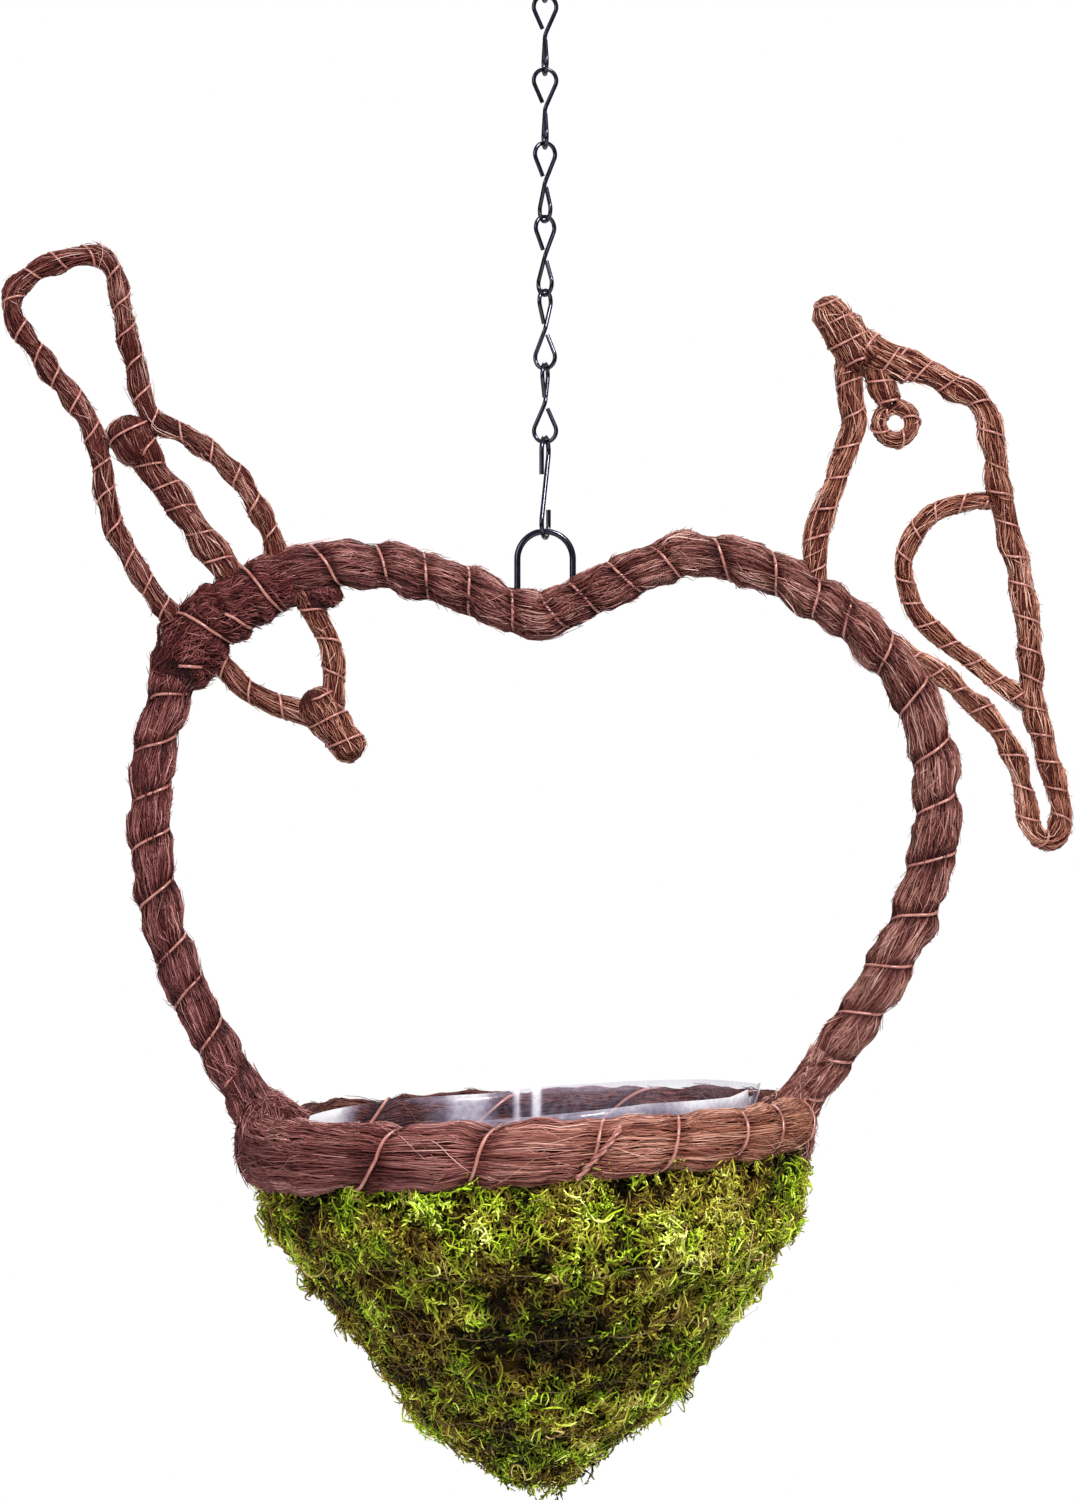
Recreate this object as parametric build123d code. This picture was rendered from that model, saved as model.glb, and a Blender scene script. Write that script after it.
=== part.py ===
from build123d import *
import math
import os

# Hanging basket: a heart-shaped wire hoop wrapped in fibre, with a bird at each
# shoulder, carries a moss-covered cone and hangs from a jack chain with two S-hooks.
# Millimetres. The origin is the seat of the top hook, where it rests on its ceiling
# hook. +Z is up, +X runs from the tail of the left bird to the right bird.

# ---------------------------------------------------------------- chain and hooks
GAP = 0.3                   # clearance left between wires that hang in each other
HOOK_WIRE = 2.0
HOOK_LENGTH = 44.5          # over both curls
HOOK_CURL = 6.0             # centreline radius of a curl
HOOK_UPPER_RETURN = 17.0    # from the top of the hook down to the tip of its upper curl
HOOK_LOWER_RETURN = 13.0    # from the foot of the hook up to the tip of its lower curl
TOP_HOOK_TURN = 98.0        # degrees about Z from the X axis to the plane of the hook
LOWER_HOOK_TURN = 76.0
LINK_WIRE = 1.8
LINK_LENGTH = 35.0          # over both loops
LINK_LOOP = 4.8             # centreline radius of a loop
LINK_WAIST_BEND = 5.0       # bend radius where the wire crosses the waist
LINK_END_HEIGHT = 2.4       # from the waist to a cut end of the wire
LINK_TURNS = (8, 8, 28, 36, 60, 76)     # degrees about Z, top link first

# ---------------------------------------------------------------- staple and hoop
STAPLE_WIRE = 2.7
STAPLE_BEND = 11.7          # centreline radius of the arch
STAPLE_HEIGHT = 255.0       # arch centreline above the rim
STAPLE_LEG = 19.0           # straight leg below the arch, down to the core wire
CORE_WIRE = 4.0
CORE_RADIUS = CORE_WIRE / 2
HOOP_RADIUS = 9.7           # outer radius of the fibre on the hoop
BINDING_WIRE = 1.6
BINDING_TILT = 20.0         # degrees that each turn leans
HOOP_BINDING_PITCH = 20.0
BIRD_CORE_WIRE = 2.6
LEFT_BIRD_BINDING_PITCH = 17.0
RIGHT_BIRD_BINDING_PITCH = 15.0

# ---------------------------------------------------------------- rim and cone
BASKET_X = -7.0             # the basket's axis, beside the chain line
RIM_RADIUS = 112.0          # centreline of the rim
RIM_HALF_WIDTH = 9.8
RIM_HALF_HEIGHT = 13.5
RIM_TURNS = 14              # turns of binding wire round the rim
FOOT_WRAP_ARC = 18.0        # degrees of the rim that each foot wrap covers
FOOT_WRAP_HALF_WIDTH = 11.6
FOOT_WRAP_HALF_HEIGHT = 17.0
FOOT_COLLAR = 13.5          # radius of a foot wrap where it runs up the hoop
FOOT_COLLAR_TOP = 30.0      # height of the collar above the rim
MOSS_X = -3.15              # the moss hangs a little right of the rim's axis, which balances the birds
MOSS_TOP = -8.0
MOSS_SHOULDER = (116.0, -37.0)          # radius and height of points on the outer face
MOSS_WAIST = (49.0, -120.0)
MOSS_TIP = (14.0, -150.0)
MOSS_BOTTOM = -153.0
MOSS_TOP_RADIUS = 118.0
MOSS_INNER_TOP = 108.5
MOSS_INNER_SHOULDER = (99.0, -37.0)
MOSS_INNER_WAIST = (34.0, -113.0)
MOSS_FLOOR = -116.0
FRAME_WIRE = 2.4
FRAME_RIBS = 8
RIB_OFFSET = 1.4            # from the inner face of the moss to the middle of a rib
RIB_SHOULDER = (102.5, -12.0)           # radius and height where a rib leaves the rim
RIB_BEND = 8.0
FRAME_RING_HEIGHTS = (-60.0, -104.0)
FRAME_RING_INSET = 1.2      # the rings are welded on the inner side of the ribs
THREAD = 0.9
THREAD_RINGS = ((-52.0, 4.0), (-74.0, -5.0), (-96.0, 6.0), (-117.0, -6.0))
LINER_SHEET = 0.7
LINER_TOP = (97.0, 19.0)
LINER_SHOULDER = (95.5, -34.5)
LINER_FLOOR = (50.5, -88.0)

# ---------------------------------------------------------------- bent wire outlines
# Corner points, (x, z) from the chain line and the rim plane, of the wires' routes.
HOOP = [
    (-119, 0), (-131, 25), (-151, 59), (-164, 97), (-168, 136), (-164, 171), (-153, 203),
    (-135, 226), (-106, 240), (-70, 242), (-37, 232), (-3, 215.5), (26, 229), (57, 247),
    (88, 242), (118, 227), (146, 206), (162, 178), (167, 142), (162, 107), (149, 71),
    (129, 37), (105, 0),
]
LEFT_BIRD = [
    (-111, 237), (-115, 257), (-129, 279), (-147, 295), (-167, 301), (-172, 322),
    (-179, 351), (-183, 375), (-203, 371.5), (-223, 363.5), (-226, 348), (-212, 330),
    (-195, 309), (-186.5, 293), (-185.5, 270), (-176, 241), (-153, 213),
]
LEFT_WING = [(-175.5, 297), (-163, 279), (-142, 251), (-125, 229)]
LEFT_CROWN = [(-109, 238), (-96, 219), (-87.5, 200), (-90, 180)]
LEFT_CHIN = [(-147, 212), (-134, 195), (-119, 182), (-93, 176)]
LEFT_BEAK = [(-95, 180), (-82.5, 163.5)]
RIGHT_NECK = [(130, 334), (127.5, 318), (131.5, 299), (121, 273), (113.5, 252), (114, 229)]
RIGHT_BACK = [
    (134, 333), (150, 329), (169, 321), (187, 311.5), (190, 290), (193, 264), (201, 236),
    (205, 208), (205.5, 182), (213, 157), (220.5, 130), (213, 121.5), (204, 126),
    (203, 145), (196, 167), (179, 185), (160, 200.5), (146, 206),
]
RIGHT_WING = [(192, 268), (172, 268), (156, 257), (150, 239), (156, 220), (173, 205), (204, 182)]
RIGHT_EYE_SHANK = [(133, 331), (141, 321), (141, 303)]
RIGHT_EYE_CENTRE = (147.8, 301.2)
RIGHT_BEAK = [(134, 330), (119.5, 351)]

TAIL_RADIUS = 4.1
BODY_RADIUS = 4.2
WING_RADIUS = 5.9
WING_KNOB = 9.6
HEAD_RADIUS = 4.2
LEFT_BEAK_RADII = (6.2, 6.5)
JOINT_WRAP = 13.0
NECK_RADIUS = 4.7
BACK_RADIUS = 5.0
RIGHT_TAIL_RADIUS = 4.4
RIGHT_WING_RADIUS = 3.6
EYE_RADIUS = 3.1
EYE_RING = 6.7
RIGHT_BEAK_RADII = (9.0, 4.8)

# ---------------------------------------------------------------- heights worked out
HOOK_SPAN = HOOK_LENGTH - HOOK_WIRE
LINK_SPAN = LINK_LENGTH - LINK_WIRE
HOOK_TO_LINK = (HOOK_WIRE + LINK_WIRE) / 2 + GAP
LINK_TO_LINK = LINK_WIRE + GAP
LINK_PITCH = LINK_SPAN - LINK_TO_LINK
TOP_HOOK_Z = HOOK_WIRE / 2
FIRST_LINK_Z = TOP_HOOK_Z - HOOK_SPAN + HOOK_TO_LINK
LAST_LINK_FOOT = FIRST_LINK_Z - (len(LINK_TURNS) - 1) * LINK_PITCH - LINK_SPAN
LOWER_HOOK_Z = LAST_LINK_FOOT + HOOK_TO_LINK
STAPLE_Z = LOWER_HOOK_Z - HOOK_SPAN + (HOOK_WIRE + STAPLE_WIRE) / 2 + GAP
RIM_Z = STAPLE_Z - STAPLE_HEIGHT


# ---------------------------------------------------------------- shared shapes
def at_rim(points):
    """Outline points, (x, z) from the rim plane, as points of the whole part."""
    return [Vector(x, 0, RIM_Z + z) for x, z in points]


def bend_radii(points):
    """The largest bend that the runs on both sides of each corner leave room for."""
    radii = []
    for before, corner, after in zip(points, points[1:], points[2:]):
        run = min((corner - before).length, (after - corner).length)
        turn = (corner - before).get_angle(after - corner)
        radii.append(0.45 * run / math.tan(math.radians(turn / 2)))
    return radii


def stretch(outline, first=None, last=None):
    """Smooth route through corners first to last, from mid-run to mid-run.

    Without first or last it runs from or to the end of the outline.
    """
    points = at_rim(outline)
    radii = bend_radii(points)
    start = 1 if first is None else first
    stop = len(points) - 2 if last is None else last
    begin = points[0] if first is None else (points[start - 1] + points[start]) / 2
    end = points[-1] if last is None else (points[stop] + points[stop + 1]) / 2
    corners = [begin, *points[start:stop + 1], end]
    return FilletPolyline(*corners, radius=radii[start - 1:stop])


def tube(path, radius, bore=0.0):
    """Round bar or sleeve along a path."""
    section = Circle(radius)
    if bore:
        section = section - Circle(bore)
    return sweep(Plane(origin=path @ 0, z_dir=path % 0) * section, path=path)


def capsule(start, end, radius, end_radius):
    """Tapered bar between two points, round at its far end."""
    axis = end - start
    cone = Cone(radius, end_radius, axis.length, align=(Align.CENTER, Align.CENTER, Align.MIN))
    return Plane(origin=start, z_dir=axis) * cone + Pos(end) * Sphere(end_radius)


def rings(path, pitch, radius):
    """Turns of binding wire round a path, each leaning the same way."""
    count = max(1, round(path.length / pitch))
    turns = []
    for number in range(count):
        place = (number + 0.5) / count
        lean = (path % place).rotate(Axis.Y, BINDING_TILT)
        turn = Torus(radius, BINDING_WIRE / 2)
        turns.append(Plane(origin=path @ place, z_dir=lean) * turn)
    return turns


def spun(outline, middle=BASKET_X):
    """Solid of revolution about an upright axis from (radius, height) points."""
    points = [(middle + radius, 0, RIM_Z + height) for radius, height in outline]
    profile = make_face(Polyline(*points, close=True))
    return revolve(profile, Axis((middle, 0, 0), (0, 0, 1)), 360)


def largest(shape):
    """The main solid of a cut shape, without loose offcuts."""
    return max(shape.solids(), key=lambda solid: solid.volume)


def save(name, *shapes):
    """Write one node, with each of its solids kept apart."""
    solids = [solid for shape in shapes for solid in shape.solids()]
    export_step(solids[0] if len(solids) == 1 else Compound(solids), f"parts/{name}.step")


# ---------------------------------------------------------------- chain and hooks
def s_hook(top, turn):
    """S-hook of round wire whose top bend has its centreline at height top."""
    curl = HOOK_CURL
    upper = top - curl
    lower = top - HOOK_SPAN + curl
    upper_tip = top + HOOK_WIRE / 2 - HOOK_UPPER_RETURN
    lower_tip = top - HOOK_SPAN - HOOK_WIRE / 2 + HOOK_LOWER_RETURN
    lean = math.asin(2 * curl / (upper - lower))
    side = curl * math.cos(lean)
    rise = curl * math.sin(lean)
    path = Wire([
        Line((-curl, upper_tip), (-curl, upper)),
        ThreePointArc((-curl, upper), (0, top), (side, upper - rise)),
        Line((side, upper - rise), (-side, lower + rise)),
        ThreePointArc((-side, lower + rise), (0, lower - curl), (curl, lower)),
        Line((curl, lower), (curl, lower_tip)),
    ])
    standing = Plane((0, 0, 0), x_dir=(1, 0, 0), z_dir=(0, -1, 0)) * path
    return Rot(0, 0, turn) * tube(standing, HOOK_WIRE / 2)


def chain_link(top, turn):
    """Jack-chain link: one wire bent into two loops that stand square to each other."""
    half = LINK_SPAN / 2
    centre = half - LINK_LOOP
    lean = math.asin(LINK_LOOP / centre)
    side = LINK_LOOP * math.cos(lean)
    shoulder = centre - LINK_LOOP * math.sin(lean)
    end = LINK_END_HEIGHT * math.tan(lean)
    waist = (0, 0, 0)
    path = Wire([
        Line((-end, 0, LINK_END_HEIGHT), (-side, 0, shoulder)),
        ThreePointArc((-side, 0, shoulder), (0, 0, half), (side, 0, shoulder)),
        *FilletPolyline((side, 0, shoulder), waist, (0, side, -shoulder),
                        radius=LINK_WAIST_BEND).edges(),
        ThreePointArc((0, side, -shoulder), (0, 0, -half), (0, -side, -shoulder)),
        Line((0, -side, -shoulder), (0, -end, -LINK_END_HEIGHT)),
    ])
    return Pos(0, 0, top - half) * Rot(0, 0, turn) * tube(path, LINK_WIRE / 2)


save("top_s_hook", s_hook(TOP_HOOK_Z, TOP_HOOK_TURN))
for number, turn in enumerate(LINK_TURNS):
    save(f"chain_link_{number + 1}", chain_link(FIRST_LINK_Z - number * LINK_PITCH, turn))
save("lower_s_hook", s_hook(LOWER_HOOK_Z, LOWER_HOOK_TURN))

# ---------------------------------------------------------------- staple
arch_foot = STAPLE_Z - STAPLE_BEND
leg_foot = arch_foot - STAPLE_LEG
staple_path = Wire([
    Line((-STAPLE_BEND, 0, leg_foot), (-STAPLE_BEND, 0, arch_foot)),
    ThreePointArc((-STAPLE_BEND, 0, arch_foot), (0, 0, STAPLE_Z), (STAPLE_BEND, 0, arch_foot)),
    Line((STAPLE_BEND, 0, arch_foot), (STAPLE_BEND, 0, leg_foot)),
])
staple = tube(staple_path, STAPLE_WIRE / 2)
save("hanging_staple", staple)

# ---------------------------------------------------------------- rim
rim_centre = Pos(BASKET_X, 0, RIM_Z)
rim_plane = Plane((BASKET_X + RIM_RADIUS, 0, RIM_Z), x_dir=(1, 0, 0), z_dir=(0, -1, 0))
basket_axis = Axis((BASKET_X, 0, 0), (0, 0, 1))
rim_section = Ellipse(RIM_HALF_WIDTH, RIM_HALF_HEIGHT)
rim_whole = revolve(rim_plane * rim_section, basket_axis, 360)
rim_core = rim_centre * Torus(RIM_RADIUS, CORE_RADIUS)
rim_fibre = revolve(rim_plane * (rim_section - Circle(CORE_RADIUS)), basket_axis, 360)
save("rim_core_ring", rim_core)
save("rim_fibre", rim_fibre)

turn_section = (Ellipse(RIM_HALF_WIDTH + BINDING_WIRE / 2, RIM_HALF_HEIGHT + BINDING_WIRE / 2)
                - Ellipse(RIM_HALF_WIDTH - BINDING_WIRE / 2, RIM_HALF_HEIGHT - BINDING_WIRE / 2))
rim_turn = extrude(rim_plane * turn_section, BINDING_WIRE / 2, both=True)
rim_turns = []
for number in range(RIM_TURNS):
    angle = (number + 0.5) * 360 / RIM_TURNS
    rim_turns.append(rim_turn.rotate(basket_axis, angle))
save("rim_binding_wire", *rim_turns)

# ---------------------------------------------------------------- hoop
LEFT_CUT = 6                # corner after which the left sleeve ends
RIGHT_CUT = 16              # corner before which the right sleeve starts
hoop_path = stretch(HOOP)
hoop_whole = tube(hoop_path, HOOP_RADIUS)
save("hoop_core_wire", tube(hoop_path, CORE_RADIUS))
left_sleeve = tube(stretch(HOOP, None, LEFT_CUT), HOOP_RADIUS, CORE_RADIUS)
top_sleeve = tube(stretch(HOOP, LEFT_CUT + 1, RIGHT_CUT - 1), HOOP_RADIUS, CORE_RADIUS)
right_sleeve = tube(stretch(HOOP, RIGHT_CUT, None), HOOP_RADIUS, CORE_RADIUS)
save("hoop_fibre_left", left_sleeve - rim_whole)
save("hoop_fibre_top", top_sleeve - staple)
save("hoop_fibre_right", right_sleeve - rim_whole)

WRAP_FIRST = 6              # corners that the bird's joint wrap covers
WRAP_LAST = 8
hoop_turns = rings(stretch(HOOP, 2, WRAP_FIRST - 1), HOOP_BINDING_PITCH, HOOP_RADIUS)
hoop_turns += rings(stretch(HOOP, WRAP_LAST + 1, len(HOOP) - 3), HOOP_BINDING_PITCH, HOOP_RADIUS)
save("hoop_binding_wire", *hoop_turns)


def foot_wrap(side, foot):
    """Fibre wound over the joint of a hoop foot and the rim; side is -1 or 1."""
    bulge = revolve(rim_plane * Ellipse(FOOT_WRAP_HALF_WIDTH, FOOT_WRAP_HALF_HEIGHT),
                    basket_axis, FOOT_WRAP_ARC)
    bulge = bulge.rotate(basket_axis, -FOOT_WRAP_ARC / 2 + (180 if side < 0 else 0))
    bulge = Pos(side * (FOOT_WRAP_HALF_WIDTH - RIM_HALF_WIDTH), 0, 0) * bulge
    start, corner = at_rim(foot)
    direction = (corner - start).normalized()
    collar = Cone(FOOT_COLLAR, HOOP_RADIUS + 0.5, FOOT_COLLAR_TOP,
                  align=(Align.CENTER, Align.CENTER, Align.MIN))
    collar = Plane(origin=start, z_dir=direction) * collar
    return bulge + collar - rim_whole - hoop_whole


save("left_foot_wrap", foot_wrap(-1, HOOP[:2]))
save("right_foot_wrap", foot_wrap(1, [HOOP[-1], HOOP[-2]]))

# ---------------------------------------------------------------- left bird
TAIL_FIRST = 5              # corners of the left bird's outline that the tail covers
TAIL_LAST = 12
CORE = BIRD_CORE_WIRE / 2
wrap_whole = tube(stretch(HOOP, WRAP_FIRST, WRAP_LAST), JOINT_WRAP)
joint = wrap_whole + hoop_whole
save("left_bird_joint_wrap", wrap_whole - hoop_whole)

back_path = stretch(LEFT_BIRD, None, TAIL_FIRST - 1)
tail_path = stretch(LEFT_BIRD, TAIL_FIRST, TAIL_LAST)
belly_path = stretch(LEFT_BIRD, TAIL_LAST + 1, None)
wing_path = stretch(LEFT_WING)
crown_path = stretch(LEFT_CROWN)
chin_path = stretch(LEFT_CHIN)
outline_whole = [tube(back_path, BODY_RADIUS), tube(tail_path, TAIL_RADIUS),
                 tube(belly_path, BODY_RADIUS)]
beak_whole = capsule(*at_rim(LEFT_BEAK), *LEFT_BEAK_RADII)
left_cores = tube(stretch(LEFT_BIRD), CORE)
for path in (wing_path, crown_path, chin_path):
    left_cores = left_cores + tube(path, CORE)
save("left_bird_core_wire", left_cores)

knob = Pos(at_rim(LEFT_WING)[0]) * Sphere(WING_KNOB)
wing = tube(wing_path, WING_RADIUS) + knob - tube(wing_path, CORE) - joint
for limb in outline_whole:
    wing = wing - limb
crown_whole = tube(crown_path, HEAD_RADIUS)
save("left_bird_tail_fibre", tube(tail_path, TAIL_RADIUS, CORE))
save("left_bird_back_fibre", tube(back_path, BODY_RADIUS, CORE) - joint)
save("left_bird_belly_fibre", tube(belly_path, BODY_RADIUS, CORE) - joint)
save("left_bird_wing_fibre", largest(wing))
save("left_bird_beak_fibre", beak_whole - left_cores)
save("left_bird_crown_fibre", tube(crown_path, HEAD_RADIUS, CORE) - joint - beak_whole)
save("left_bird_chin_fibre",
     tube(chin_path, HEAD_RADIUS, CORE) - joint - beak_whole - crown_whole)

left_turns = rings(tail_path, LEFT_BIRD_BINDING_PITCH, TAIL_RADIUS)
left_turns += rings(stretch(LEFT_BIRD, 2, 3), LEFT_BIRD_BINDING_PITCH, BODY_RADIUS)
left_turns += rings(stretch(LEFT_BIRD, 14, 14), LEFT_BIRD_BINDING_PITCH, BODY_RADIUS)
left_turns += rings(stretch(LEFT_WING, 1, 2), LEFT_BIRD_BINDING_PITCH, WING_RADIUS)
left_turns += rings(stretch(LEFT_CROWN, 1, 2), LEFT_BIRD_BINDING_PITCH, HEAD_RADIUS)
left_turns += rings(stretch(LEFT_CHIN, 2, 2), LEFT_BIRD_BINDING_PITCH, HEAD_RADIUS)
left_turns += rings(stretch(HOOP, WRAP_FIRST, WRAP_LAST), HOOP_BINDING_PITCH, JOINT_WRAP)
save("left_bird_binding_wire", *left_turns)

# ---------------------------------------------------------------- right bird
BACK_LAST = 8               # corner of the right bird's outline where the tail starts
neck_path = stretch(RIGHT_NECK)
right_back_path = stretch(RIGHT_BACK, None, BACK_LAST)
right_tail_path = stretch(RIGHT_BACK, BACK_LAST + 1, None)
right_wing_path = stretch(RIGHT_WING)
shank_path = stretch(RIGHT_EYE_SHANK)
back_whole = tube(right_back_path, BACK_RADIUS)
neck_whole = tube(neck_path, NECK_RADIUS)
right_beak_whole = capsule(*at_rim(RIGHT_BEAK), *RIGHT_BEAK_RADII)
eye_ring_place = Plane(origin=at_rim([RIGHT_EYE_CENTRE])[0], z_dir=(0, 1, 0))
eye_core = tube(shank_path, CORE) + eye_ring_place * Torus(EYE_RING, CORE)
eye_whole = tube(shank_path, EYE_RADIUS) + eye_ring_place * Torus(EYE_RING, EYE_RADIUS)
right_cores = tube(neck_path, CORE) + tube(stretch(RIGHT_BACK), CORE)
right_cores = right_cores + tube(right_wing_path, CORE) + eye_core
save("right_bird_core_wire", right_cores)

save("right_bird_beak_fibre", right_beak_whole - right_cores)
save("right_bird_neck_fibre",
     tube(neck_path, NECK_RADIUS, CORE) - hoop_whole - right_beak_whole)
save("right_bird_back_fibre",
     tube(right_back_path, BACK_RADIUS, CORE) - right_beak_whole - neck_whole)
save("right_bird_tail_fibre", tube(right_tail_path, RIGHT_TAIL_RADIUS, CORE) - hoop_whole)
save("right_bird_wing_fibre", tube(right_wing_path, RIGHT_WING_RADIUS, CORE) - back_whole)
save("right_bird_eye_fibre",
     largest(eye_whole - eye_core - right_beak_whole - neck_whole - back_whole))

right_turns = rings(stretch(RIGHT_NECK, 2, 4), RIGHT_BIRD_BINDING_PITCH, NECK_RADIUS)
right_turns += rings(stretch(RIGHT_BACK, 2, BACK_LAST), RIGHT_BIRD_BINDING_PITCH, BACK_RADIUS)
right_turns += rings(stretch(RIGHT_BACK, BACK_LAST + 1, len(RIGHT_BACK) - 3),
                     RIGHT_BIRD_BINDING_PITCH, RIGHT_TAIL_RADIUS)
right_turns += rings(stretch(RIGHT_WING, 1, 4), RIGHT_BIRD_BINDING_PITCH, RIGHT_WING_RADIUS)
save("right_bird_binding_wire", *right_turns)

# ---------------------------------------------------------------- moss cone
moss = spun([
    (0, MOSS_TOP), (MOSS_TOP_RADIUS, MOSS_TOP), MOSS_SHOULDER, MOSS_WAIST, MOSS_TIP, (0, MOSS_BOTTOM),
], MOSS_X)
moss -= spun([
    (0, MOSS_TOP), (MOSS_INNER_TOP, MOSS_TOP), MOSS_INNER_SHOULDER, MOSS_INNER_WAIST, (0, MOSS_FLOOR),
])
left_wrap = foot_wrap(-1, HOOP[:2])
right_wrap = foot_wrap(1, [HOOP[-1], HOOP[-2]])
save("moss_shell", moss - rim_whole - left_wrap - right_wrap)


def moss_radius(height):
    """Outer radius of the moss on its long straight flank."""
    share = (height - MOSS_WAIST[1]) / (MOSS_SHOULDER[1] - MOSS_WAIST[1])
    return MOSS_WAIST[0] + share * (MOSS_SHOULDER[0] - MOSS_WAIST[0])


threads = []
for height, tilt in THREAD_RINGS:
    ring = Rot(0, tilt, 0) * Torus(moss_radius(height), THREAD / 2)
    threads.append(Pos(MOSS_X, 0, RIM_Z + height) * ring)
save("moss_binding_thread", *threads)

# ---------------------------------------------------------------- wire cone in the moss
flank_run = MOSS_INNER_SHOULDER[0] - MOSS_INNER_WAIST[0]
flank_drop = MOSS_INNER_SHOULDER[1] - MOSS_INNER_WAIST[1]
flank = math.hypot(flank_run, flank_drop)


def inside_moss(corner):
    """Point a rib's offset in from a corner of the inner face."""
    radius, height = corner
    return (radius - RIB_OFFSET * flank_drop / flank, height + RIB_OFFSET * flank_run / flank)


def rib_radius(height):
    """Radius of the ribs on their long straight flank."""
    top = inside_moss(MOSS_INNER_SHOULDER)
    return top[0] - (top[1] - height) * flank_run / flank_drop


rib_outline = [(RIM_RADIUS, -CORE_RADIUS), RIB_SHOULDER, inside_moss(MOSS_INNER_SHOULDER),
               inside_moss(MOSS_INNER_WAIST)]
rib_path = FilletPolyline(
    *[(BASKET_X + radius, 0, RIM_Z + height) for radius, height in rib_outline], radius=RIB_BEND)
rib = tube(rib_path, FRAME_WIRE / 2)
rib_step = 360 / FRAME_RIBS
cone_frame = rib.rotate(basket_axis, rib_step / 2)
for number in range(1, FRAME_RIBS):
    cone_frame = cone_frame + rib.rotate(basket_axis, (number + 0.5) * rib_step)
for height in FRAME_RING_HEIGHTS:
    cone_frame = cone_frame + Pos(BASKET_X, 0, RIM_Z + height) * Torus(
        rib_radius(height) - FRAME_RING_INSET, FRAME_WIRE / 2)
save("cone_wire_frame", cone_frame)

# ---------------------------------------------------------------- liner
liner = spun([
    LINER_TOP, LINER_SHOULDER, LINER_FLOOR, (0, LINER_FLOOR[1]),
    (0, LINER_FLOOR[1] + LINER_SHEET), (LINER_FLOOR[0] - LINER_SHEET / 2, LINER_FLOOR[1] + LINER_SHEET),
    (LINER_SHOULDER[0] - LINER_SHEET, LINER_SHOULDER[1]),
    (LINER_TOP[0] - LINER_SHEET, LINER_TOP[1]),
])
save("plastic_liner", liner)

print("rim plane at", round(RIM_Z, 2), "link pitch", round(LINK_PITCH, 2))
for name, outline in (("hoop", HOOP), ("left bird", LEFT_BIRD), ("right bird", RIGHT_BACK)):
    print(name, "bend radii", [round(radius) for radius in bend_radii(at_rim(outline))])
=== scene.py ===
import bpy
import math
import numpy as np
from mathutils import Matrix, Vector


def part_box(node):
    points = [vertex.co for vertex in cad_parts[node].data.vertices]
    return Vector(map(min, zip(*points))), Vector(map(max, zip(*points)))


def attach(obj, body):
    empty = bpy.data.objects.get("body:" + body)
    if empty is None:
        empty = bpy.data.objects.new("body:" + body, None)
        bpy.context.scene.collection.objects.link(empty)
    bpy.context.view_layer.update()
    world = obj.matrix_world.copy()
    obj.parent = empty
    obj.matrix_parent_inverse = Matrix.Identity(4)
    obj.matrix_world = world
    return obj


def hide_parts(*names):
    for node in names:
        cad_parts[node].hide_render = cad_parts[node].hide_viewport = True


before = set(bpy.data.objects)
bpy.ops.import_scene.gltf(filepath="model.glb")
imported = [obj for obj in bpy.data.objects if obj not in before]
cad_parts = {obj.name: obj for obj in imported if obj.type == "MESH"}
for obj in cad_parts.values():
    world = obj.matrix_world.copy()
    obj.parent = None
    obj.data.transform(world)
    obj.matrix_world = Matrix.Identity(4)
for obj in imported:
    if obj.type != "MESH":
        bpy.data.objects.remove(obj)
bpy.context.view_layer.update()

# -------------------- places
MM = 0.001
TURN = 2 * math.pi
rim_low, rim_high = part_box("rim_core_ring")
BASKET_X = (rim_low.x + rim_high.x) / 2
RIM_Z = (rim_low.z + rim_high.z) / 2
RIM_MIDDLE = np.array([BASKET_X, 0, RIM_Z])
RIM_RADIUS = 0.112
FRONT = np.array([0.0, -1.0, 0.0])
UP = np.array([0.0, 0.0, 1.0])

# Outlines in mm, across from the chain line and up from the rim plane.
HOOP = [(-119, 0), (-131, 25), (-151, 59), (-164, 97), (-168, 136), (-164, 171), (-153, 203),
        (-135, 226), (-106, 240), (-70, 242), (-37, 232), (-24, 226), (-12, 221.5), (-3, 218.5), (5, 221),
        (14, 227), (28, 232), (57, 247), (88, 242), (118, 226), (144, 205), (161, 178), (167, 142),
        (162, 107), (146.5, 71), (124, 37), (100, 2)]
# Where the binding wire crosses the front of the hoop.
HOOP_TURNS = [(-131, 25), (-141, 42), (-151, 61), (-158, 78), (-163.5, 102), (-166, 125), (-166, 144),
              (-165.5, 165), (-158, 186), (-154, 201), (-131, 218), (-115, 228), (-92, 240), (-68, 241),
              (-50, 237), (-32, 230), (-14, 221), (2, 221), (17, 225), (34, 235), (51, 242), (74, 243),
              (96, 235), (115, 228), (127, 218), (142, 201), (155, 185), (163, 162), (165, 140),
              (163, 116), (155, 93), (145, 72), (132.5, 52), (119.5, 32)]
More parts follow.
